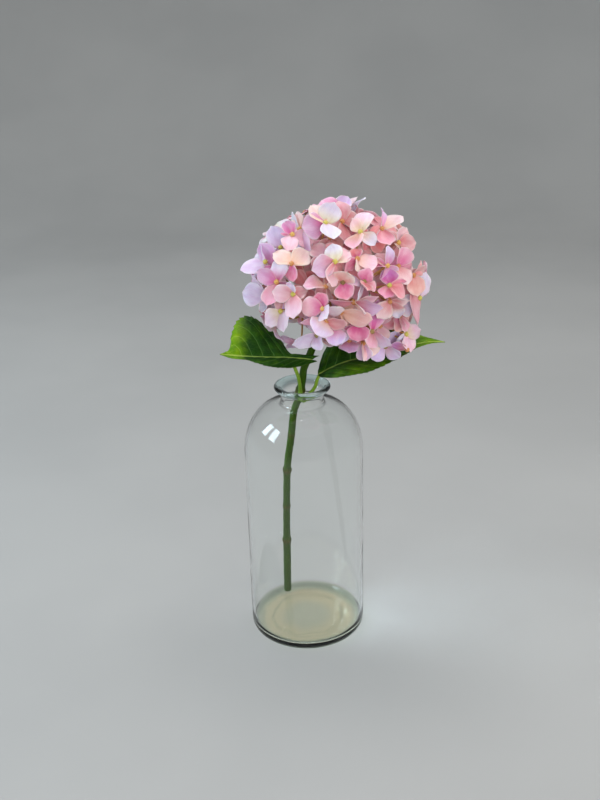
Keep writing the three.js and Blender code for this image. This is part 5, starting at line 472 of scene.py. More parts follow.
def attribute(nt, name, out="Vector"):
    n = nt.nodes.new("ShaderNodeAttribute")
    n.attribute_type = "GEOMETRY"
    n.attribute_name = name
    return n.outputs[out]


def xyz(nt, v):
    n = nt.nodes.new("ShaderNodeSeparateXYZ")
    nt.links.new(v, n.inputs[0])
    return n.outputs[0], n.outputs[1], n.outputs[2]


def vector(nt, x, y, z):
    n = nt.nodes.new("ShaderNodeCombineXYZ")
    for i, s in enumerate((x, y, z)):
        if isinstance(s, (int, float)):
            n.inputs[i].default_value = s
        else:
            nt.links.new(s, n.inputs[i])
    return n.outputs[0]


def noise(nt, coord, scale, detail=2.0, rough=0.5):
    n = nt.nodes.new("ShaderNodeTexNoise")
    nt.links.new(coord, n.inputs["Vector"])
    n.inputs["Scale"].default_value = scale
    n.inputs["Detail"].default_value = detail
    n.inputs["Roughness"].default_value = rough
    return n.outputs["Fac"]


def bump(nt, bsdf, height, strength, distance):
    n = nt.nodes.new("ShaderNodeBump")
    n.inputs["Strength"].default_value = strength
    n.inputs["Distance"].default_value = distance
    nt.links.new(height, n.inputs["Height"])
    nt.links.new(n.outputs[0], bsdf.inputs["Normal"])
    return n


def object_coord(nt):
    n = nt.nodes.new("ShaderNodeTexCoord")
    return n.outputs["Object"]


def petal_material():
    """Petal tissue. pp holds the share along the petal, the share across and a number of its own; pq holds the distance
    to the margin in mm, the strength of the eye's tint and the strength of the pale margin, which is partly a paler
    thin edge and partly a painted edge highlight."""
    mat, nt, bsdf = new_material("petal_tissue")
    u, v, own = xyz(nt, attribute(nt, "pp"))
    edge, tint, pale_rim_highlight = xyz(nt, attribute(nt, "pq"))
    body = attribute(nt, "body_col", "Color")
    eye = attribute(nt, "eye_col", "Color")
    # veins fan out from the claw: the angle at the claw is v over u
    fan = math_node(nt, "DIVIDE", v, math_node(nt, "ADD", math_node(nt, "MULTIPLY", u, 0.7), 0.42))
    wob = noise(nt, vector(nt, math_node(nt, "MULTIPLY", u, 3.0), math_node(nt, "MULTIPLY", v, 2.0), own), 2.2, 3.0)
    lines = math_node(nt, "ADD", math_node(nt, "MULTIPLY", fan, 6.4), math_node(nt, "MULTIPLY", wob, 1.3))
    saw = math_node(nt, "ABSOLUTE", math_node(nt, "SUBTRACT", math_node(nt, "FRACT", math_node(nt, "ADD", lines, 20.0)), 0.5))
    vein = mapped(nt, saw, 0.0, 0.16, 1.0, 0.0)
    fine = noise(nt, vector(nt, math_node(nt, "MULTIPLY", u, 1.6), math_node(nt, "MULTIPLY", fan, 16.0), own), 1.6, 4.0, 0.6)
    patch = noise(nt, vector(nt, math_node(nt, "MULTIPLY", u, 1.2), v, own), 1.7, 2.0)
    # the tint spreads out from the claw along the veins
    reach = math_node(nt, "ADD", u, math_node(nt, "MULTIPLY", math_node(nt, "SUBTRACT", fine, 0.5), 0.34))
    near_eye = math_node(nt, "MULTIPLY", mapped(nt, reach, 0.10, 0.80, 1.0, 0.0), tint, clamp=True)
    colour = mix_colour(nt, near_eye, body, eye)
    # painted warm shade right at the claw, where the petals meet under the bud
    claw_shade = mapped(nt, u, 0.05, 0.22, 0.5, 0.0)
    colour = mix_colour(nt, claw_shade, colour, mix_colour(nt, 1.0, eye, (0.80, 0.52, 0.42), "MULTIPLY"))
    # mottling
    light = mix_colour(nt, 0.5, colour, (1.0, 0.96, 0.96))
    colour = mix_colour(nt, mapped(nt, patch, 0.40, 0.72, 0.0, 0.34), colour, light)
    deep = mix_colour(nt, 1.0, colour, (0.90, 0.74, 0.84), "MULTIPLY")
    colour = mix_colour(nt, mapped(nt, patch, 0.52, 0.28, 0.0, 0.40), colour, deep)
    # veins a little deeper in colour
    veined = mix_colour(nt, 1.0, colour, (0.88, 0.66, 0.76), "MULTIPLY")
    colour = mix_colour(nt, math_node(nt, "MULTIPLY", vein, 0.50), colour, veined)
    # pale margin: partly a paler thin edge, partly a painted highlight along the edges
    pale = mix_colour(nt, 0.66, colour, (0.98, 0.92, 0.86))
    edge_falloff = math_node(nt, "ADD", mapped(nt, edge, 0.05, 0.75, 0.75, 0.0), mapped(nt, edge, 0.3, 3.4, 0.25, 0.0))
    margin = math_node(nt, "MULTIPLY", edge_falloff, pale_rim_highlight, clamp=True)
    colour = mix_colour(nt, margin, colour, pale)
    nt.links.new(colour, bsdf.inputs["Base Color"])
    rough = mapped(nt, fine, 0.2, 0.8, 0.50, 0.66, "LINEAR")
    nt.links.new(rough, bsdf.inputs["Roughness"])
    bsdf.inputs["Specular IOR Level"].default_value = 0.32
    bsdf.inputs["Sheen Weight"].default_value = 0.18
    bsdf.inputs["Sheen Roughness"].default_value = 0.5
    bsdf.inputs["Subsurface Weight"].default_value = 0.22
    bsdf.inputs["Subsurface Radius"].default_value = (1.0, 0.45, 0.5)
    bsdf.inputs["Subsurface Scale"].default_value = 0.0016
    h = math_node(nt, "ADD", math_node(nt, "MULTIPLY", vein, -0.5), math_node(nt, "MULTIPLY", fine, 0.8))
    bump(nt, bsdf, h, 0.35, 0.00035)
    return mat


def bud_material():
    mat, nt, bsdf = new_material("floret_eye")
    body = attribute(nt, "body_col", "Color")
    lat, turn, own = xyz(nt, attribute(nt, "pp"))
    n = noise(nt, vector(nt, math_node(nt, "MULTIPLY", lat, 5.0), math_node(nt, "MULTIPLY", turn, 9.0), own), 2.4, 3.0)
    seam = math_node(nt, "ABSOLUTE", math_node(nt, "SUBTRACT", math_node(nt, "FRACT", math_node(nt, "MULTIPLY", turn, 4.0)), 0.5))
    groove = mapped(nt, seam, 0.0, 0.12, 1.0, 0.0)
    c = mix_colour(nt, mapped(nt, n, 0.35, 0.7, 0.0, 0.5), body, mix_colour(nt, 0.55, body, (1.0, 0.93, 0.60)))
    c = mix_colour(nt, math_node(nt, "MULTIPLY", groove, 0.45), c, mix_colour(nt, 1.0, c, (0.62, 0.50, 0.30), "MULTIPLY"))
    low = mapped(nt, lat, 0.55, 1.0, 0.0, 0.7)
    c = mix_colour(nt, low, c, mix_colour(nt, 1.0, body, (0.55, 0.45, 0.35), "MULTIPLY"))
    nt.links.new(c, bsdf.inputs["Base Color"])
    bsdf.inputs["Roughness"].default_value = 0.5
    bsdf.inputs["Subsurface Weight"].default_value = 0.15
    bsdf.inputs["Subsurface Scale"].default_value = 0.001
    bump(nt, bsdf, math_node(nt, "SUBTRACT", n, math_node(nt, "MULTIPLY", groove, 0.8)), 0.5, 0.0004)
    return mat


def stalk_material(name, low, high, speck, speck_amount=0.35, knotted=False):
    """Green tissue whose colour runs from low to high along the piece, with lengthwise streaks and pale lenticels."""
    mat, nt, bsdf = new_material(name)
    t, a, end = xyz(nt, attribute(nt, "pp"))
    at = object_coord(nt)
    streak = noise(nt, vector(nt, math_node(nt, "MULTIPLY", t, 6.0), math_node(nt, "MULTIPLY", math_node(nt, "SINE", math_node(nt, "MULTIPLY", a, 6.2832)), 3.0), math_node(nt, "MULTIPLY", math_node(nt, "COSINE", math_node(nt, "MULTIPLY", a, 6.2832)), 3.0)), 2.5, 4.0, 0.6)
    c = mix_colour(nt, mapped(nt, t, 0.05, 0.95, 0.0, 1.0, "LINEAR"), low, high)
    c = mix_colour(nt, mapped(nt, streak, 0.35, 0.7, 0.0, 0.55), c, mix_colour(nt, 1.0, c, (0.62, 0.70, 0.42), "MULTIPLY"))
    dots = node(nt, "ShaderNodeTexVoronoi")
    nt.links.new(at, dots.inputs["Vector"])
    dots.inputs["Scale"].default_value = 330.0
    spot = mapped(nt, dots.outputs["Distance"], 0.12, 0.24, 1.0, 0.0)
    c = mix_colour(nt, math_node(nt, "MULTIPLY", spot, speck_amount), c, speck)
    if knotted:
        k = xyz(nt, attribute(nt, "pk"))[0]
        rub = math_node(nt, "MULTIPLY", k, mapped(nt, streak, 0.25, 0.6, 0.35, 0.95))
        c = mix_colour(nt, rub, c, (0.075, 0.055, 0.012))
    c = mix_colour(nt, end, c, (0.72, 0.70, 0.42))
    nt.links.new(c, bsdf.inputs["Base Color"])
    bsdf.inputs["Roughness"].default_value = 0.52
    bsdf.inputs["Specular IOR Level"].default_value = 0.22
    bsdf.inputs["Subsurface Weight"].default_value = 0.06
    bsdf.inputs["Subsurface Scale"].default_value = 0.001
    h = math_node(nt, "ADD", streak, math_node(nt, "MULTIPLY", spot, 0.6))
    bump(nt, bsdf, h, 0.4, 0.0005)
    return mat


def leaf_material():
    """lp is (share along, signed share across, half width in mm); lq is (lime, distance to margin in mm, underside)."""
    mat, nt, bsdf = new_material("leaf_blade")
    s, t, half = xyz(nt, attribute(nt, "lp"))
    lime, edge, under = xyz(nt, attribute(nt, "lq"))
    at = math_node(nt, "ABSOLUTE", t)
    wob = noise(nt, vector(nt, math_node(nt, "MULTIPLY", s, 6.0), math_node(nt, "MULTIPLY", t, 3.0), 0.0), 1.4, 2.0)
    # side veins leave the midrib towards the tip and bow forward
    q = math_node(nt, "SUBTRACT", s, math_node(nt, "ADD", math_node(nt, "MULTIPLY", at, 0.13), math_node(nt, "MULTIPLY", math_node(nt, "MULTIPLY", at, at), 0.14)))
    q = math_node(nt, "ADD", q, math_node(nt, "MULTIPLY", math_node(nt, "SUBTRACT", wob, 0.5), 0.03))
    side = math_node(nt, "GREATER_THAN", t, 0.0)
    q = math_node(nt, "ADD", math_node(nt, "MULTIPLY", q, 9.0), math_node(nt, "ADD", math_node(nt, "MULTIPLY", side, 0.42), 10.0))
    d = math_node(nt, "ABSOLUTE", math_node(nt, "SUBTRACT", math_node(nt, "FRACT", q), 0.5))
    secondary = mapped(nt, d, 0.012, 0.06, 1.0, 0.0)
    secondary = math_node(nt, "MULTIPLY", secondary, mapped(nt, at, 0.72, 1.0, 1.0, 0.25))
    mid = mapped(nt, math_node(nt, "MULTIPLY", at, half), 0.55, 1.35, 1.0, 0.0)
    net = node(nt, "ShaderNodeTexVoronoi", feature="DISTANCE_TO_EDGE")
    nt.links.new(vector(nt, math_node(nt, "MULTIPLY", q, 1.0), math_node(nt, "MULTIPLY", at, 9.0), side), net.inputs["Vector"])
    net.inputs["Scale"].default_value = 2.6
    tertiary = mapped(nt, net.outputs["Distance"], 0.0, 0.075, 1.0, 0.0)
    tissue = noise(nt, object_coord(nt), 95.0, 4.0, 0.6)
    dark = mix_colour(nt, mapped(nt, tissue, 0.3, 0.75), (0.005, 0.038, 0.001), (0.021, 0.092, 0.001))
    bright = mix_colour(nt, mapped(nt, tissue, 0.3, 0.75), (0.11, 0.27, 0.001), (0.22, 0.39, 0.003))
    lime2 = math_node(nt, "ADD", lime, math_node(nt, "MULTIPLY", math_node(nt, "SUBTRACT", tissue, 0.5), 0.55), clamp=True)
    c = mix_colour(nt, lime2, dark, bright)
    between = mapped(nt, d, 0.10, 0.5, 0.0, 0.30)
    c = mix_colour(nt, between, c, mix_colour(nt, 1.0, c, (0.62, 0.72, 0.60), "MULTIPLY"))
    veincol = mix_colour(nt, lime2, (0.085, 0.20, 0.035), (0.36, 0.50, 0.06))
    c = mix_colour(nt, math_node(nt, "MULTIPLY", tertiary, 0.14), c, veincol)
    c = mix_colour(nt, math_node(nt, "MULTIPLY", secondary, 0.55), c, veincol)
    c = mix_colour(nt, math_node(nt, "MULTIPLY", mid, 0.85), c, mix_colour(nt, 0.5, veincol, (0.46, 0.60, 0.12)))
    c = mix_colour(nt, mapped(nt, edge, 0.2, 1.0, 0.45, 0.0), c, (0.07, 0.10, 0.015))
    c = mix_colour(nt, math_node(nt, "MULTIPLY", under, 0.35), c, (0.22, 0.34, 0.14))
    nt.links.new(c, bsdf.inputs["Base Color"])
    r = mapped(nt, tissue, 0.25, 0.75, 0.40, 0.56, "LINEAR")
    nt.links.new(r, bsdf.inputs["Roughness"])
    bsdf.inputs["Specular IOR Level"].default_value = 0.14
    bsdf.inputs["Coat Weight"].default_value = 0.02
    bsdf.inputs["Coat Roughness"].default_value = 0.35
    bsdf.inputs["Subsurface Weight"].default_value = 0.05
    bsdf.inputs["Subsurface Scale"].default_value = 0.001
    h = math_node(nt, "SUBTRACT", math_node(nt, "MULTIPLY", tissue, 0.5), math_node(nt, "ADD", math_node(nt, "MULTIPLY", secondary, 0.6), math_node(nt, "MULTIPLY", tertiary, 0.3)))
    bump(nt, bsdf, h, 0.5, 0.0006)
    return mat


def glass_material():
    mat, nt, bsdf = new_material("clear_glass")
    at = object_coord(nt)
    x, y, z = xyz(nt, at)
    # old bottle glass: the faintest green, a little more of it low down, and a slightly uneven surface. The darker base
    # colour with its rings is partly that tint and partly painted shadow of the floor seen through the base, since the
    # jar casts no shadow
    n = noise(nt, at, 14.0, 2.0)
    low = mapped(nt, z, 0.006, 0.0115, 1.0, 0.0)
    lip = mapped(nt, z, 0.2425, 0.2490, 0.0, 1.0)
    radius = math_node(nt, "SQRT", math_node(nt, "ADD", math_node(nt, "MULTIPLY", x, x), math_node(nt, "MULTIPLY", y, y)))
    pool = noise(nt, at, 55.0, 3.0)
    rings = math_node(nt, "ADD", radius, math_node(nt, "MULTIPLY", math_node(nt, "SUBTRACT", pool, 0.5), 0.012))
    # painted shadow and rings of the floor under the jar, mixed with the base's own yellow-green tint
    base_tint_and_painted_shadow = mix_colour(nt, mapped(nt, rings, 0.016, 0.031, 0.0, 1.0), (0.72, 0.71, 0.58), (0.80, 0.74, 0.55))
    ring = math_node(nt, "ABSOLUTE", math_node(nt, "SUBTRACT", rings, 0.0345))
    base_tint_and_painted_shadow = mix_colour(nt, mapped(nt, ring, 0.0, 0.0022, 0.65, 0.0), base_tint_and_painted_shadow, (0.60, 0.60, 0.46))
    base_tint_and_painted_shadow = mix_colour(nt, mapped(nt, rings, 0.042, 0.047, 0.0, 1.0), base_tint_and_painted_shadow, (0.66, 0.67, 0.52))
    # dark heel line: partly the thick glass's green edge, partly painted contact shade where the jar meets the floor
    heel_tint_and_contact_shade = math_node(nt, "MULTIPLY", mapped(nt, radius, 0.0475, 0.0525, 0.0, 1.0), mapped(nt, z, 0.0045, 0.0085, 1.0, 0.0))
    base_tint_and_painted_shadow = mix_colour(nt, heel_tint_and_contact_shade, base_tint_and_painted_shadow, (0.40, 0.48, 0.38))
    c = mix_colour(nt, low, (0.985, 0.996, 0.992), base_tint_and_painted_shadow)
    c = mix_colour(nt, lip, c, (0.66, 0.82, 0.81))
    nt.links.new(c, bsdf.inputs["Base Color"])
    bsdf.inputs["Roughness"].default_value = 0.0
    bsdf.inputs["IOR"].default_value = 1.43
    bsdf.inputs["Transmission Weight"].default_value = 1.0
    bump(nt, bsdf, n, 0.12, 0.004)
    return mat


PETAL = petal_material()
BUD = bud_material()
PEDICEL = stalk_material("pedicel_tissue", (0.36, 0.27, 0.04), (0.62, 0.30, 0.10), (0.70, 0.52, 0.22), 0.25)
RAY = stalk_material("ray_tissue", (0.17, 0.22, 0.02), (0.36, 0.26, 0.035), (0.55, 0.48, 0.18), 0.25)
STEM_MAT = stalk_material("stem_tissue", (0.028, 0.066, 0.0003), (0.030, 0.078, 0.0006), (0.13, 0.20, 0.02), 0.35, True)
LEAF = leaf_material()
GLASS = glass_material()


# ---------------------------------------------------------------- petals
def srgb(r, g, b):
    f = lambda x: x / 12.92 if x <= 0.04045 else ((x + 0.055) / 1.055) ** 2.4
    return np.array([f(r / 255), f(g / 255), f(b / 255)])


BODY = {
    "W": srgb(218, 208, 228),
    "L": srgb(219, 200, 228),
    "V": srgb(219, 178, 216),
    "P": srgb(242, 198, 210),
    "K": srgb(238, 166, 190),
    "R": srgb(230, 142, 148),
    "H": srgb(232, 138, 172),
    "C": srgb(238, 203, 203),
    "E": srgb(238, 175, 174),
    "D": srgb(214, 156, 160),
    "M": srgb(205, 142, 190),
}
EYE = {
    "m": (srgb(206, 80, 142), 0.80),
    "r": (srgb(208, 100, 100), 0.62),
    "c": (srgb(240, 190, 150), 0.65),
    "y": (srgb(214, 200, 132), 0.70),
    "0": (srgb(216, 170, 200), 0.35),
}
BUDS = {
    "y": srgb(196, 186, 66),
    "g": srgb(222, 172, 78),
    "o": srgb(202, 128, 62),
    "e": srgb(150, 132, 66),
    "b": srgb(120, 84, 22),
}

NU, NV = 14, 9
_s = np.linspace(0, 1, NU)
U_ROWS = 1 - (1 - _s) ** 1.5
V_COLS = np.sin(np.linspace(-1, 1, NV) * math.pi / 2)


def petal_template():
    top = [[0] * NV for _ in range(NU)]
    low = [[0] * NV for _ in range(NU)]
    u, v, sg = [], [], []
    for i in range(NU - 1):
        for j in range(NV):
            top[i][j] = len(u)
            u.append(U_ROWS[i]); v.append(V_COLS[j])
            sg.append(0.0 if j in (0, NV - 1) else 1.0)
    tip = len(u)
    u.append(1.0); v.append(0.0); sg.append(0.0)
    for i in range(NU - 1):
        for j in range(NV):
            if j in (0, NV - 1):
                low[i][j] = top[i][j]
            else:
                low[i][j] = len(u)
                u.append(U_ROWS[i]); v.append(V_COLS[j]); sg.append(-1.0)
    faces = []
    for i in range(NU - 2):
        for j in range(NV - 1):
            faces.append((top[i][j], top[i + 1][j], top[i + 1][j + 1], top[i][j + 1]))
            faces.append((low[i][j], low[i][j + 1], low[i + 1][j + 1], low[i + 1][j]))
    i = NU - 2
    for j in range(NV - 1):
        faces.append((top[i][j], tip, top[i][j + 1]))
        faces.append((low[i][j], low[i][j + 1], tip))
    for j in range(NV - 1):
        ring = [top[0][j], top[0][j + 1], low[0][j + 1], low[0][j]]
        faces.append(tuple(dict.fromkeys(ring)))
    return np.array(u), np.array(v), np.array(sg), faces


TU, TV, TS, TF = petal_template()


def petal_mesh(c, row, own, body, eye, tint, pale_rim_highlight, young):
    tip, N = np.array(row[0:3]), unit(row[3:6])
    width, belly, cup = row[6], row[7], row[8]
    ax = tip - c
    L = np.linalg.norm(ax)
    along = ax / L
    side = unit(np.cross(along, N))
    N = np.cross(side, along)
    r = np.random.default_rng(int(own * 1e6))
    sharp = r.uniform(3.0, 6.5)
    rise = smooth(TU, -0.04, r.uniform(0.46, 0.56)) ** 0.62
    prof = (0.12 + 0.88 * rise) * np.sqrt(np.clip(1 - TU**sharp, 0, 1))
    skew = r.uniform(-0.06, 0.06)
    half = min(width * 0.52, L * 0.58)
    # margins: a soft lobe, a shallow notch or a small point at the tip
    lobes = 1 + 0.05 * np.sin(TU * r.uniform(6, 11) + np.where(TV > 0, r.uniform(0, 6), r.uniform(0, 6)))
    across = half * prof * TV * lobes
    centre = skew * half * np.sin(np.pi * TU)
    point = r.uniform(-0.7, 1.5) * np.exp(-((TV / 0.35) ** 2)) * smooth(TU, 0.74, 1.0)
    along_mm = L * TU * (1 - 0.05 * TV**2 * TU) + point * 0.7
    ph = r.uniform(0, 6.28, 6)
    w1 = min(1.0, width / 16)
    wave = (
        w1 * r.uniform(0.45, 1.15) * np.abs(TV) ** 2.5
        * np.sin(TU * r.uniform(5, 8.5) + np.where(TV > 0, ph[0], ph[1]))
        * smooth(TU, 0.2, 0.5)
    )
    ripple = 0.16 * np.sin(TV * 8.5 + ph[2]) * smooth(TU, 0.12, 0.4) * (1 - 0.5 * TU)
    crease = -r.uniform(0.2, 0.75) * np.exp(-((TV / 0.16) ** 2)) * smooth(TU, 0.0, 0.25) * (1 - smooth(TU, 0.55, 0.98))
    lip = r.uniform(-2.0, 2.6) * smooth(TU, 0.62, 1.0) ** 1.5
    fold = r.uniform(-1.1, 1.1) * np.sign(TV) * np.abs(TV) ** 2 * smooth(TU, 0.2, 0.8)
    keel = r.uniform(0.2, 1.5) * (np.abs(TV) - 0.35) * smooth(TU, 0.05, 0.45) * (1 - 0.4 * smooth(TU, 0.7, 1.0))
    h = belly * 4 * TU * (1 - TU) + cup * (TV**2 - 0.35) * np.sin(np.pi * TU) + wave + ripple + crease + lip + fold + keel
    thick = (0.17 + 0.22 * (1 - smooth(TU, 0.0, 0.4))) * np.sqrt(np.clip(1 - np.abs(TV) ** 3, 0.0, 1)) * np.sqrt(np.clip(1 - TU**10, 0, 1))
    P = (
        c
        + along * along_mm[:, None]
        + side * (across + centre)[:, None]
        + N * (h + TS * thick)[:, None]
    )
    edge = np.minimum(half * prof * (1 - np.abs(TV)) * 1.0, L * (1 - TU))
    pp = np.stack([TU, TV, np.full_like(TU, own * 40)], 1)
    # pq's last number sets the pale margin, partly a painted edge highlight
    pq = np.stack([edge, np.full_like(TU, tint), np.full_like(TU, pale_rim_highlight)], 1)
    # the face order assumes side x along points up; side = along x N gives down, so the rows are swapped
    faces = [tuple(reversed(f)) for f in TF]
    return P, faces, pp, pq, np.append(body, 1.0), np.append(eye, 1.0)


def bud_mesh(c, axis, radius, own, rows=7, cols=16):
    e1 = unit(np.cross([0.1, 0.2, 1.0], axis))
    e2 = np.cross(axis, e1)
    V, A, F = [], [], []
    for i in range(rows + 1):
        lat = i / rows
        th = lat * math.pi
        if i in (0, rows):
            V.append(c + axis * radius * (0.86 if i == 0 else -0.8)); A.append((lat, 0.5, own)); continue
        for k in range(cols):
            a = 2 * math.pi * k / cols + own
            lobe = 1 + 0.09 * math.cos(4 * a) * math.sin(th)
            r = radius * math.sin(th) * lobe
            V.append(c + e1 * math.cos(a) * r + e2 * math.sin(a) * r + axis * radius * 0.88 * math.cos(th) * (1 - 0.10 * (1 - abs(math.cos(2 * a))) * (lat < 0.4)))
            A.append((lat, k / cols, own))
    ring = lambda i, k: 1 + (i - 1) * cols + k % cols
    last = len(V) - 1
    for k in range(cols):
        F.append((0, ring(1, k), ring(1, k + 1)))
        for i in range(1, rows - 1):
            F.append((ring(i, k), ring(i + 1, k), ring(i + 1, k + 1), ring(i, k + 1)))
        F.append((ring(rows - 1, k), last, ring(rows - 1, k + 1)))
    return np.array(V), F, np.array(A, float)


def tube_piece(b, path, radius, sides, mat, grow=(0.0, 1.0)):
    V, F, A = tube(path, radius, sides)
    A = A.copy()
    A[:, 0] = grow[0] + (grow[1] - grow[0]) * A[:, 0]
    A[:, 2] = 0.0
    b.add(V, F, mat, pp=A)


serial = 0
for k, (ray, florets) in enumerate(SPRIGS):
    name = "sprig_%02d" % (k + 1)
    b = Builder()
    knob = np.array(RAY_TIPS[ray])
    backs = [np.array(f[0:3]) - unit(f[3:6]) * 9 for f in florets]
    mean = np.mean(backs, axis=0)
    out = unit(mean - knob)
    start = knob + out * RAY_KNOB * 0.55
    leave = knob + out * (RAY_KNOB + 0.7)
    first = np.array(florets[0][0:3])
    fork = leave + (first - leave) * 0.36
    for i, fl in enumerate(florets):
        c, axis, eyekind, petals = np.array(fl[0:3]), unit(fl[3:6]), fl[6], fl[7]
        back = c - axis * 7.0
        if i == 0:
            pts = [start, fork, back * 0.85 + fork * 0.15, c - axis * 1.4]
        else:
            lead = unit(first - leave)
            pts = [fork - lead * 0.8, fork + (back - fork) * 0.3 + lead * 1.6, back, c - axis * 1.4]
        path = catmull(pts, 16)
        t = np.linspace(0, 1, 16)
        rad = 0.92 - 0.22 * t + 0.75 * smooth(t, 0.86, 1.0) + (0.35 * np.exp(-((t - 0.0) / 0.08) ** 2))
        tube_piece(b, path, rad, 7, 1, (0.0 if i == 0 else 0.3, 1.0))
        serial += 1
        own0 = (serial * 0.61803) % 1.0
        b.add(*(lambda q: (q[0], q[1]))(bud_mesh(c + axis * 0.9, axis, 2.15, own0 * 6)), 2,
              pp=bud_mesh(c + axis * 0.9, axis, 2.15, own0 * 6)[2], body_col=np.append(BUDS[eyekind], 1.0))
        fr = np.random.default_rng(serial)
        tone = fr.normal(0, 0.035, 3)
        e1 = unit(np.cross([0.1, 0.2, 1.0], axis))
        e2 = np.cross(axis, e1)
        turn = lambda row: math.atan2(np.dot(np.array(row[0:3]) - c, e2), np.dot(np.array(row[0:3]) - c, e1))
        for j, row in enumerate(sorted(petals, key=turn)):
            own = (serial * 0.754877 + j * 0.569840) % 1.0
            code = row[9]
            body = BODY[code[0]] * (1 + tone + fr.normal(0, 0.03, 3))
            eye, strength = EYE[code[1]]
            lift = axis * (0.45 if j % 2 else -0.45)
            P, F, pp, pq, bc, ec = petal_mesh(
                c + lift, row, own, np.clip(body, 0, 1), eye, strength * fr.uniform(0.8, 1.1), fr.uniform(0.55, 1.0), 0
            )
            b.add(P, F, 0, pp=pp, pq=pq, body_col=bc, eye_col=ec)
    ob = b.build("florets_%02d" % (k + 1), [PETAL, PEDICEL, BUD])
    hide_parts(name)
    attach(ob, "root")

# ---------------------------------------------------------------- rays
hub = np.array(HUB)
for k, tipp in enumerate(RAY_TIPS):
    tipp = np.array(tipp)
    name = "ray_%d" % (k + 1)
    d = unit(tipp - hub)
    bow = (hub + tipp) / 2 + np.array([0, 0, 1.5])
    path = catmull([hub + d * 1.5, bow, tipp, tipp + d * 2.2], 22)
    t = np.linspace(0, 1, 22)
    rad = 1.75 - 0.35 * smooth(t, 0, 0.6) + 1.35 * np.exp(-(((t - 0.9) / 0.085) ** 2))
    rad = rad * np.where(t > 0.96, 0.8, 1)
    b = Builder()
    V, F, A = tube(path, rad, 12)
    A[:, 2] = 0
    b.add(V, F, 0, pp=A)
    ob = b.build("flower_" + name, [RAY])
    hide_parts(name)
    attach(ob, "root")

# ---------------------------------------------------------------- stem
path = catmull(STEM, 170)
along = np.concatenate([[0], np.cumsum(np.linalg.norm(np.diff(path, axis=0), axis=1))])
zc = path[:, 2]
rad = 3.75 - 0.35 * smooth(zc, 55, 90) - 0.1 * smooth(zc, 150, 240)


def knuckle(z0, height, amount):
    return amount * np.exp(-(((zc - z0) / height) ** 2))


knots = ((73.5, 3.2, 1.15), (115.5, 2.2, 0.55), (157.5, 3.0, 0.95), (198, 1.8, 0.25), (243.5, 5.5, 1.3), (319, 6.5, 1.3))
for z0, height, amount in knots:
    rad = rad + knuckle(z0, height, amount) + knuckle(z0 + height * 0.5, 0.7, amount * 0.3)
knot = np.clip(sum(knuckle(z0, height * 0.7, 1.0) for z0, height, amount in knots[:5]), 0, 1)
rad = rad + 0.06 * np.sin(along * 0.35) + 0.05 * np.sin(along * 0.83 + 1)
ribs = lambda t, a: 1 + 0.018 * math.sin(6 * a + 3 * t) + 0.012 * math.sin(3 * a - 9 * t)
V, F, A = tube(path, rad, 24, squash=ribs)
K = np.interp(A[:, 0], np.linspace(0, 1, len(knot)), knot)
b = Builder()
b.add(V, F, 0, pp=A, pk=np.stack([K, K, K], 1))
stem = b.build("green_stem", [STEM_MAT])
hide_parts("stem")
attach(stem, "root")


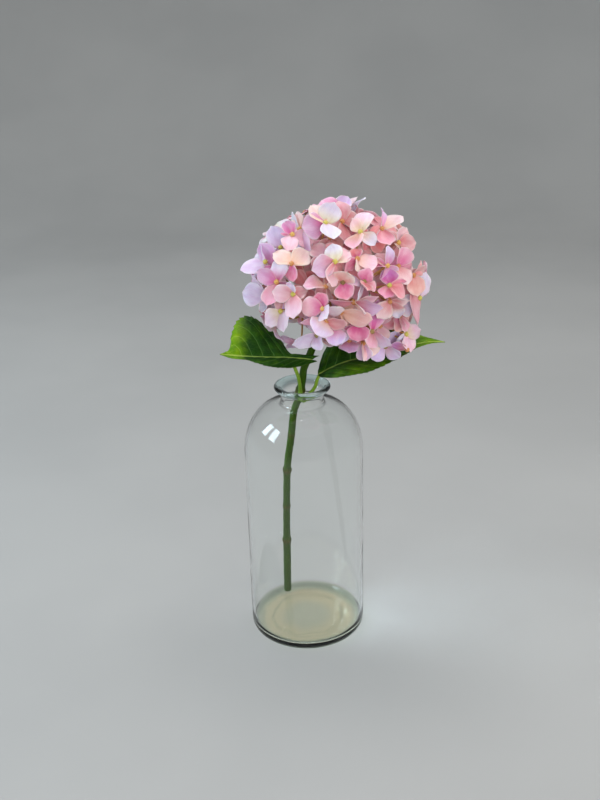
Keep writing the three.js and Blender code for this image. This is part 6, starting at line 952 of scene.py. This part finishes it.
# ---------------------------------------------------------------- leaves
def leaf_piece(name, node_name, stations, petiole, lime_of, seed):
    r = np.random.default_rng(seed)
    NS, NT = 150, 27
    st = np.array(stations, float)  # station, (mid, far, near), xyz
    M, Uc, Lc = (catmull(st[:, i], NS) for i in range(3))
    s = np.linspace(0, 1, NS)
    teeth = 24
    cols = np.sin(np.linspace(-1, 1, 2 * NT + 1) * math.pi / 2)
    cols = np.sign(cols) * np.abs(cols) ** 1.0
    top, low, lp, lq = [], [], [], []
    tan = np.gradient(M, axis=0)
    grid = np.zeros((NS, len(cols), 3))
    half = np.zeros((NS, len(cols)))
    for i in range(NS):
        for side, E in ((-1, Uc[i]), (1, Lc[i])):
            w = E - M[i]
            wl = max(np.linalg.norm(w), 1e-6)
            saw = ((s[i] * teeth + (0.5 if side > 0 else 0)) % 1.0)
            tooth = (saw**0.8) * smooth(s[i], 0.03, 0.12) * (1 - smooth(s[i], 0.95, 1.0))
            idx = np.where((cols * side) > 0 if side > 0 else cols <= 0)[0]
            t = np.abs(cols[idx])
            reach = t * (1 + (0.045 * tooth - 0.02) * t**5)
            rise = (min(2.4, wl * 0.07) if side < 0 else min(1.6, wl * 0.07))
            up_v = np.array([0, 0, 1.0])
            P = M[i] + w * reach[:, None] + up_v * (rise * 4 * t * (1 - t))[:, None]
            # forward sweep of each tooth
            P = P + unit(tan[i]) * (t**6 * tooth * 0.9)[:, None]
            grid[i, idx] = P
            half[i, idx] = wl
    # normals of the sheet
    du = np.gradient(grid, axis=0)
    dv = np.gradient(grid, axis=1)
    nn = np.cross(du, dv)
    nl = np.linalg.norm(nn, axis=2)[..., None]
    nn = nn / np.maximum(nl, 1e-9)
    if nn[NS // 2, NT, 2] < 0:
        nn = -nn
        flip = True
    else:
        flip = False
    S, T = np.meshgrid(s, cols, indexing="ij")
    at = np.abs(T)
    q = (S - 0.13 * at - 0.14 * at * at) * 9.0 + np.where(T > 0, 0.42, 0) + 10
    dist = np.abs((q % 1.0) - 0.5)
    body = np.clip(half / 20, 0, 1)
    quilt = 0.55 * smooth(dist, 0.0, 0.30) * body * smooth(at, 0.0, 0.15) * (1 - 0.5 * smooth(at, 0.8, 1.0))
    midrib = -0.55 * np.exp(-((at * half / 1.6) ** 2)) * smooth(half, 2, 8)
    warp = (
        0.9 * np.sin(S * 9 + 1.3 * T + r.uniform(0, 6)) * at**2
        + 0.5 * np.sin(S * 17 + r.uniform(0, 6)) * at**3
    ) * body
    grid = grid + nn * (quilt + midrib + warp)[..., None]
    thick = 0.30 * np.sqrt(np.clip(1 - at**6, 0, 1)) + 0.75 * np.exp(-((at * half / 1.3) ** 2)) * (1 - 0.6 * S)
    edge = np.minimum(half * (1 - at), 115 * (1 - S))
    tops = grid + nn * 0.22 * np.sqrt(np.clip(1 - at**6, 0, 1))[..., None]
    lows = grid - nn * thick[..., None]
    m2 = len(cols)
    ids = lambda i, j: i * m2 + j
    n = NS * m2
    V = np.vstack([tops.reshape(-1, 3), lows.reshape(-1, 3)])
    lime = np.clip(lime_of(grid.reshape(-1, 3)), 0, 1)
    lp = np.stack([S.ravel(), T.ravel(), half.ravel()], 1)
    lq_t = np.stack([lime, edge.ravel(), np.zeros(n)], 1)
    lq_l = np.stack([lime, edge.ravel(), np.ones(n)], 1)
    F = []
    for i in range(NS - 1):
        for j in range(m2 - 1):
            a, b1, c1, d1 = ids(i, j), ids(i + 1, j), ids(i + 1, j + 1), ids(i, j + 1)
            up_f, low_f = (a, b1, c1, d1), (n + a, n + d1, n + c1, n + b1)
            if flip:
                up_f, low_f = up_f[::-1], low_f[::-1]
            F += [up_f, low_f]
    def wall(p, q2):
        f = (p, n + p, n + q2, q2)
        F.append(f[::-1] if flip else f)
    for i in range(NS - 1):
        wall(ids(i, 0), ids(i + 1, 0))
        wall(ids(i + 1, m2 - 1), ids(i, m2 - 1))
    for j in range(m2 - 1):
        wall(ids(0, j + 1), ids(0, j))
        wall(ids(NS - 1, j), ids(NS - 1, j + 1))
    b = Builder()
    b.add(V, F, 0, lp=np.vstack([lp, lp]), lq=np.vstack([lq_t, lq_l]))
    # petiole, running on into the midrib
    pts = [np.array(p) for p in petiole]
    inner = unit(pts[0] - pts[1])
    last = st[1, 0] if len(st) > 1 else pts[-1]
    pth = catmull([pts[0] + inner * 2.2] + pts, 40)
    tt = np.linspace(0, 1, 40)
    rr = 1.85 + 1.0 * np.exp(-((tt / 0.12) ** 2)) - 0.35 * tt
    V, F2, A = tube(pth, rr, 14, squash=lambda t, a: 1 - 0.10 * max(0.0, math.cos(a)) ** 4)
    A[:, 2] = 0
    b.add(V, F2, 1, pp=A)
    ob = b.build(name, [LEAF, PETIOLE])
    # weld the coincident rims
    import bmesh
    bm = bmesh.new()
    bm.from_mesh(ob.data)
    bmesh.ops.remove_doubles(bm, verts=bm.verts, dist=2e-6)
    bm.to_mesh(ob.data)
    bm.free()
    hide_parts(node_name)
    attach(ob, "root")
    return ob


PETIOLE = stalk_material("petiole_tissue", (0.13, 0.24, 0.02), (0.24, 0.38, 0.03), (0.5, 0.6, 0.25), 0.3)
leaf_piece("leaf_blade_left", "leaf_left", LEAF_LEFT, PETIOLE_LEFT,
           lambda P: smooth(-P[:, 0], 44, 60) * 0.95 + 0.18 * smooth(-P[:, 2], -276, -270) , 3)
leaf_piece("leaf_blade_right", "leaf_right", LEAF_RIGHT, PETIOLE_RIGHT,
           lambda P: smooth(P[:, 0], 86, 112) * 0.75 + 0.25 * smooth(-P[:, 1], 12, 34), 4)

# ---------------------------------------------------------------- jar
R, H = 55.0, 252.3
WALL, FLOOR = 2.6, 5.0
S0, S1 = 188.0, 236.0
NR, NW, RIM = 19.84, 2.8, 25.7


def arc(r0, z0, r1, z1, n):
    t = np.linspace(0, math.pi / 2, n)
    return np.stack([r1 + (r0 - r1) * np.cos(t), z0 + (z1 - z0) * np.sin(t)], 1)


def rounded(points, n):
    P = catmull([(r, 0, z) for r, z in points], n)
    return np.stack([np.maximum(P[:, 0], 0), P[:, 2]], 1)


ni = NR - NW
outer = np.vstack([
    [[0.0, 0.0], [20, 0.0], [40, 0.0], [47.0, 0.0]],
    rounded([(48.5, 0.0), (51.2, 0.7), (53.4, 2.6), (54.6, 5.4), (R, 9.0)], 14),
    [[R, 14], [R, 40], [R, 80], [R, 120], [R, 160], [R, 180]],
    arc(R, S0, NR + 0.9, S1 - 1.2, 26),
    rounded([(NR + 0.25, S1 + 0.6), (NR, S1 + 3), (NR + 0.05, S1 + 6.2), (NR + 0.7, H - 7.8), (NR + 2.3, H - 6.3), (RIM - 1.9, H - 5.2), (RIM - 0.5, H - 3.9), (RIM, H - 2.4), (RIM - 0.5, H - 0.9), (RIM - 1.7, H - 0.1), (RIM - 2.6, H)], 38),
])
inner = np.vstack([
    rounded([(RIM - 3.6, H - 0.3), (ni + 3.0, H - 1.3), (ni + 1.0, H - 3.4), (ni + 0.2, H - 6.5), (ni, S1 + 5), (ni + 0.3, S1 + 0.5), (ni + 1.2, S1 - 2.6)], 22),
    arc(R - WALL, S0, ni + 2.2, S1 - WALL - 0.6, 26)[::-1],
    [[R - WALL, 180], [R - WALL, 150], [R - WALL, 110], [R - WALL, 70], [R - WALL, 40], [R - WALL, 20]],
    rounded([(R - WALL, 14), (R - WALL - 0.7, 9.6), (R - WALL - 2.8, 6.6), (R - WALL - 6.5, FLOOR), (36, FLOOR + 0.6), (20, FLOOR + 1.3), (8, FLOOR + 1.6)], 22),
    [[0.0, FLOOR + 1.6]],
])
profile = np.vstack([outer, inner])
seg = 144
V, F = [], []
rows = []
for r0, z0 in profile:
    if r0 < 1e-6:
        rows.append([len(V)] * seg)
        V.append((0, 0, z0))
        continue
    row = []
    for k in range(seg):
        a = 2 * math.pi * k / seg
        # mouth-blown unevenness, a few hundredths of a millimetre
        rr = r0 * (1 + 0.0007 * math.sin(2 * a + z0 * 0.03) + 0.0005 * math.sin(3 * a - z0 * 0.05))
        row.append(len(V))
        V.append((rr * math.cos(a), rr * math.sin(a), z0))
    rows.append(row)
for i in range(len(rows) - 1):
    for k in range(seg):
        a, b1 = rows[i][k], rows[i][(k + 1) % seg]
        c1, d1 = rows[i + 1][(k + 1) % seg], rows[i + 1][k]
        f = tuple(dict.fromkeys((a, b1, c1, d1)))
        if len(f) > 2:
            F.append(f)
b = Builder()
b.add(V, F, 0)
jar = b.build("glass_bottle", [GLASS])
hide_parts("jar")
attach(jar, "root")
jar.visible_shadow = False  # clear glass: the floor and the stem inside it stay lit

# ---------------------------------------------------------------- stage
mat, nt, bsdf = new_material("studio_paper")
n = noise(nt, object_coord(nt), 3.0, 3.0)
nt.links.new(mix_colour(nt, mapped(nt, n, 0.3, 0.7), (0.38, 0.376, 0.368), (0.41, 0.405, 0.395)), bsdf.inputs["Base Color"])
bsdf.inputs["Roughness"].default_value = 0.85
bsdf.inputs["Specular IOR Level"].default_value = 0.2
prof_floor = [(0.0, 0.0), (0.3, 0.0), (0.8, 0.0), (1.5, 0.0)]
for k in range(1, 15):
    a = k / 14 * math.pi / 2
    prof_floor.append((1.5 + 1.1 * math.sin(a), 1.1 * (1 - math.cos(a))))
prof_floor += [(2.6, 1.6), (2.6, 2.6)]
V, F, rows = [], [], []
for r0, z0 in prof_floor:
    if r0 == 0:
        rows.append([len(V)] * 96); V.append((0, 0, z0)); continue
    rows.append(list(range(len(V), len(V) + 96)))
    V += [(r0 * math.cos(2 * math.pi * k / 96), r0 * math.sin(2 * math.pi * k / 96), z0) for k in range(96)]
for i in range(len(rows) - 1):
    for k in range(96):
        f = tuple(dict.fromkeys((rows[i][k], rows[i][(k + 1) % 96], rows[i + 1][(k + 1) % 96], rows[i + 1][k])))
        F.append(f)
me = bpy.data.meshes.new("studio_sweep")
me.from_pydata(V, [], F)
me.polygons.foreach_set("use_smooth", [True] * len(F))
me.materials.append(mat)
floor = bpy.data.objects.new("studio_sweep", me)
floor.location = (0, 0, -0.0002)
scene.collection.objects.link(floor)

# ---------------------------------------------------------------- light
world = bpy.data.worlds.new("studio")
world.use_nodes = True
bg = next(n for n in world.node_tree.nodes if n.type == "BACKGROUND")
bg.inputs["Color"].default_value = (0.93, 0.97, 1.0, 1)
bg.inputs["Strength"].default_value = 0.34
scene.world = world


def softbox(name, at, target, size, power, colour):
    data = bpy.data.lights.new(name, "AREA")
    data.shape = "RECTANGLE"
    data.size, data.size_y = size
    data.energy = power
    data.color = colour
    ob = bpy.data.objects.new(name, data)
    ob.location = at
    ob.rotation_euler = (Vector(target) - Vector(at)).to_track_quat("-Z", "Y").to_euler()
    ob.visible_camera = False
    scene.collection.objects.link(ob)
    return ob


softbox("window_left", (-1.76, 0.16, 1.20), (0.0, 0, 0.25), (0.42, 0.85), 12.5, (0.74, 0.90, 1.0))
softbox("window_right", (-1.60, -0.52, 1.20), (0.0, 0, 0.25), (0.46, 0.85), 13.5, (0.74, 0.90, 1.0))
front = softbox("front", (0.25, -1.75, 0.75), (0.03, 0, 0.33), (1.1, 0.9), 14, (1.0, 0.985, 0.97))
fill = softbox("fill", (1.5, -0.9, 1.1), (0.03, 0, 0.3), (1.3, 1.3), 14.5, (1.0, 0.97, 0.95))
softbox("top", (0.1, 0.35, 1.95), (0.02, 0, 0.3), (1.35, 0.8), 17.5, (1.0, 1.0, 1.0))
for ob in (front, fill):
    ob.visible_glossy = False
    ob.visible_transmission = False

scene.view_settings.view_transform = "Standard"
scene.view_settings.look = "None"
scene.view_settings.exposure = 0.0
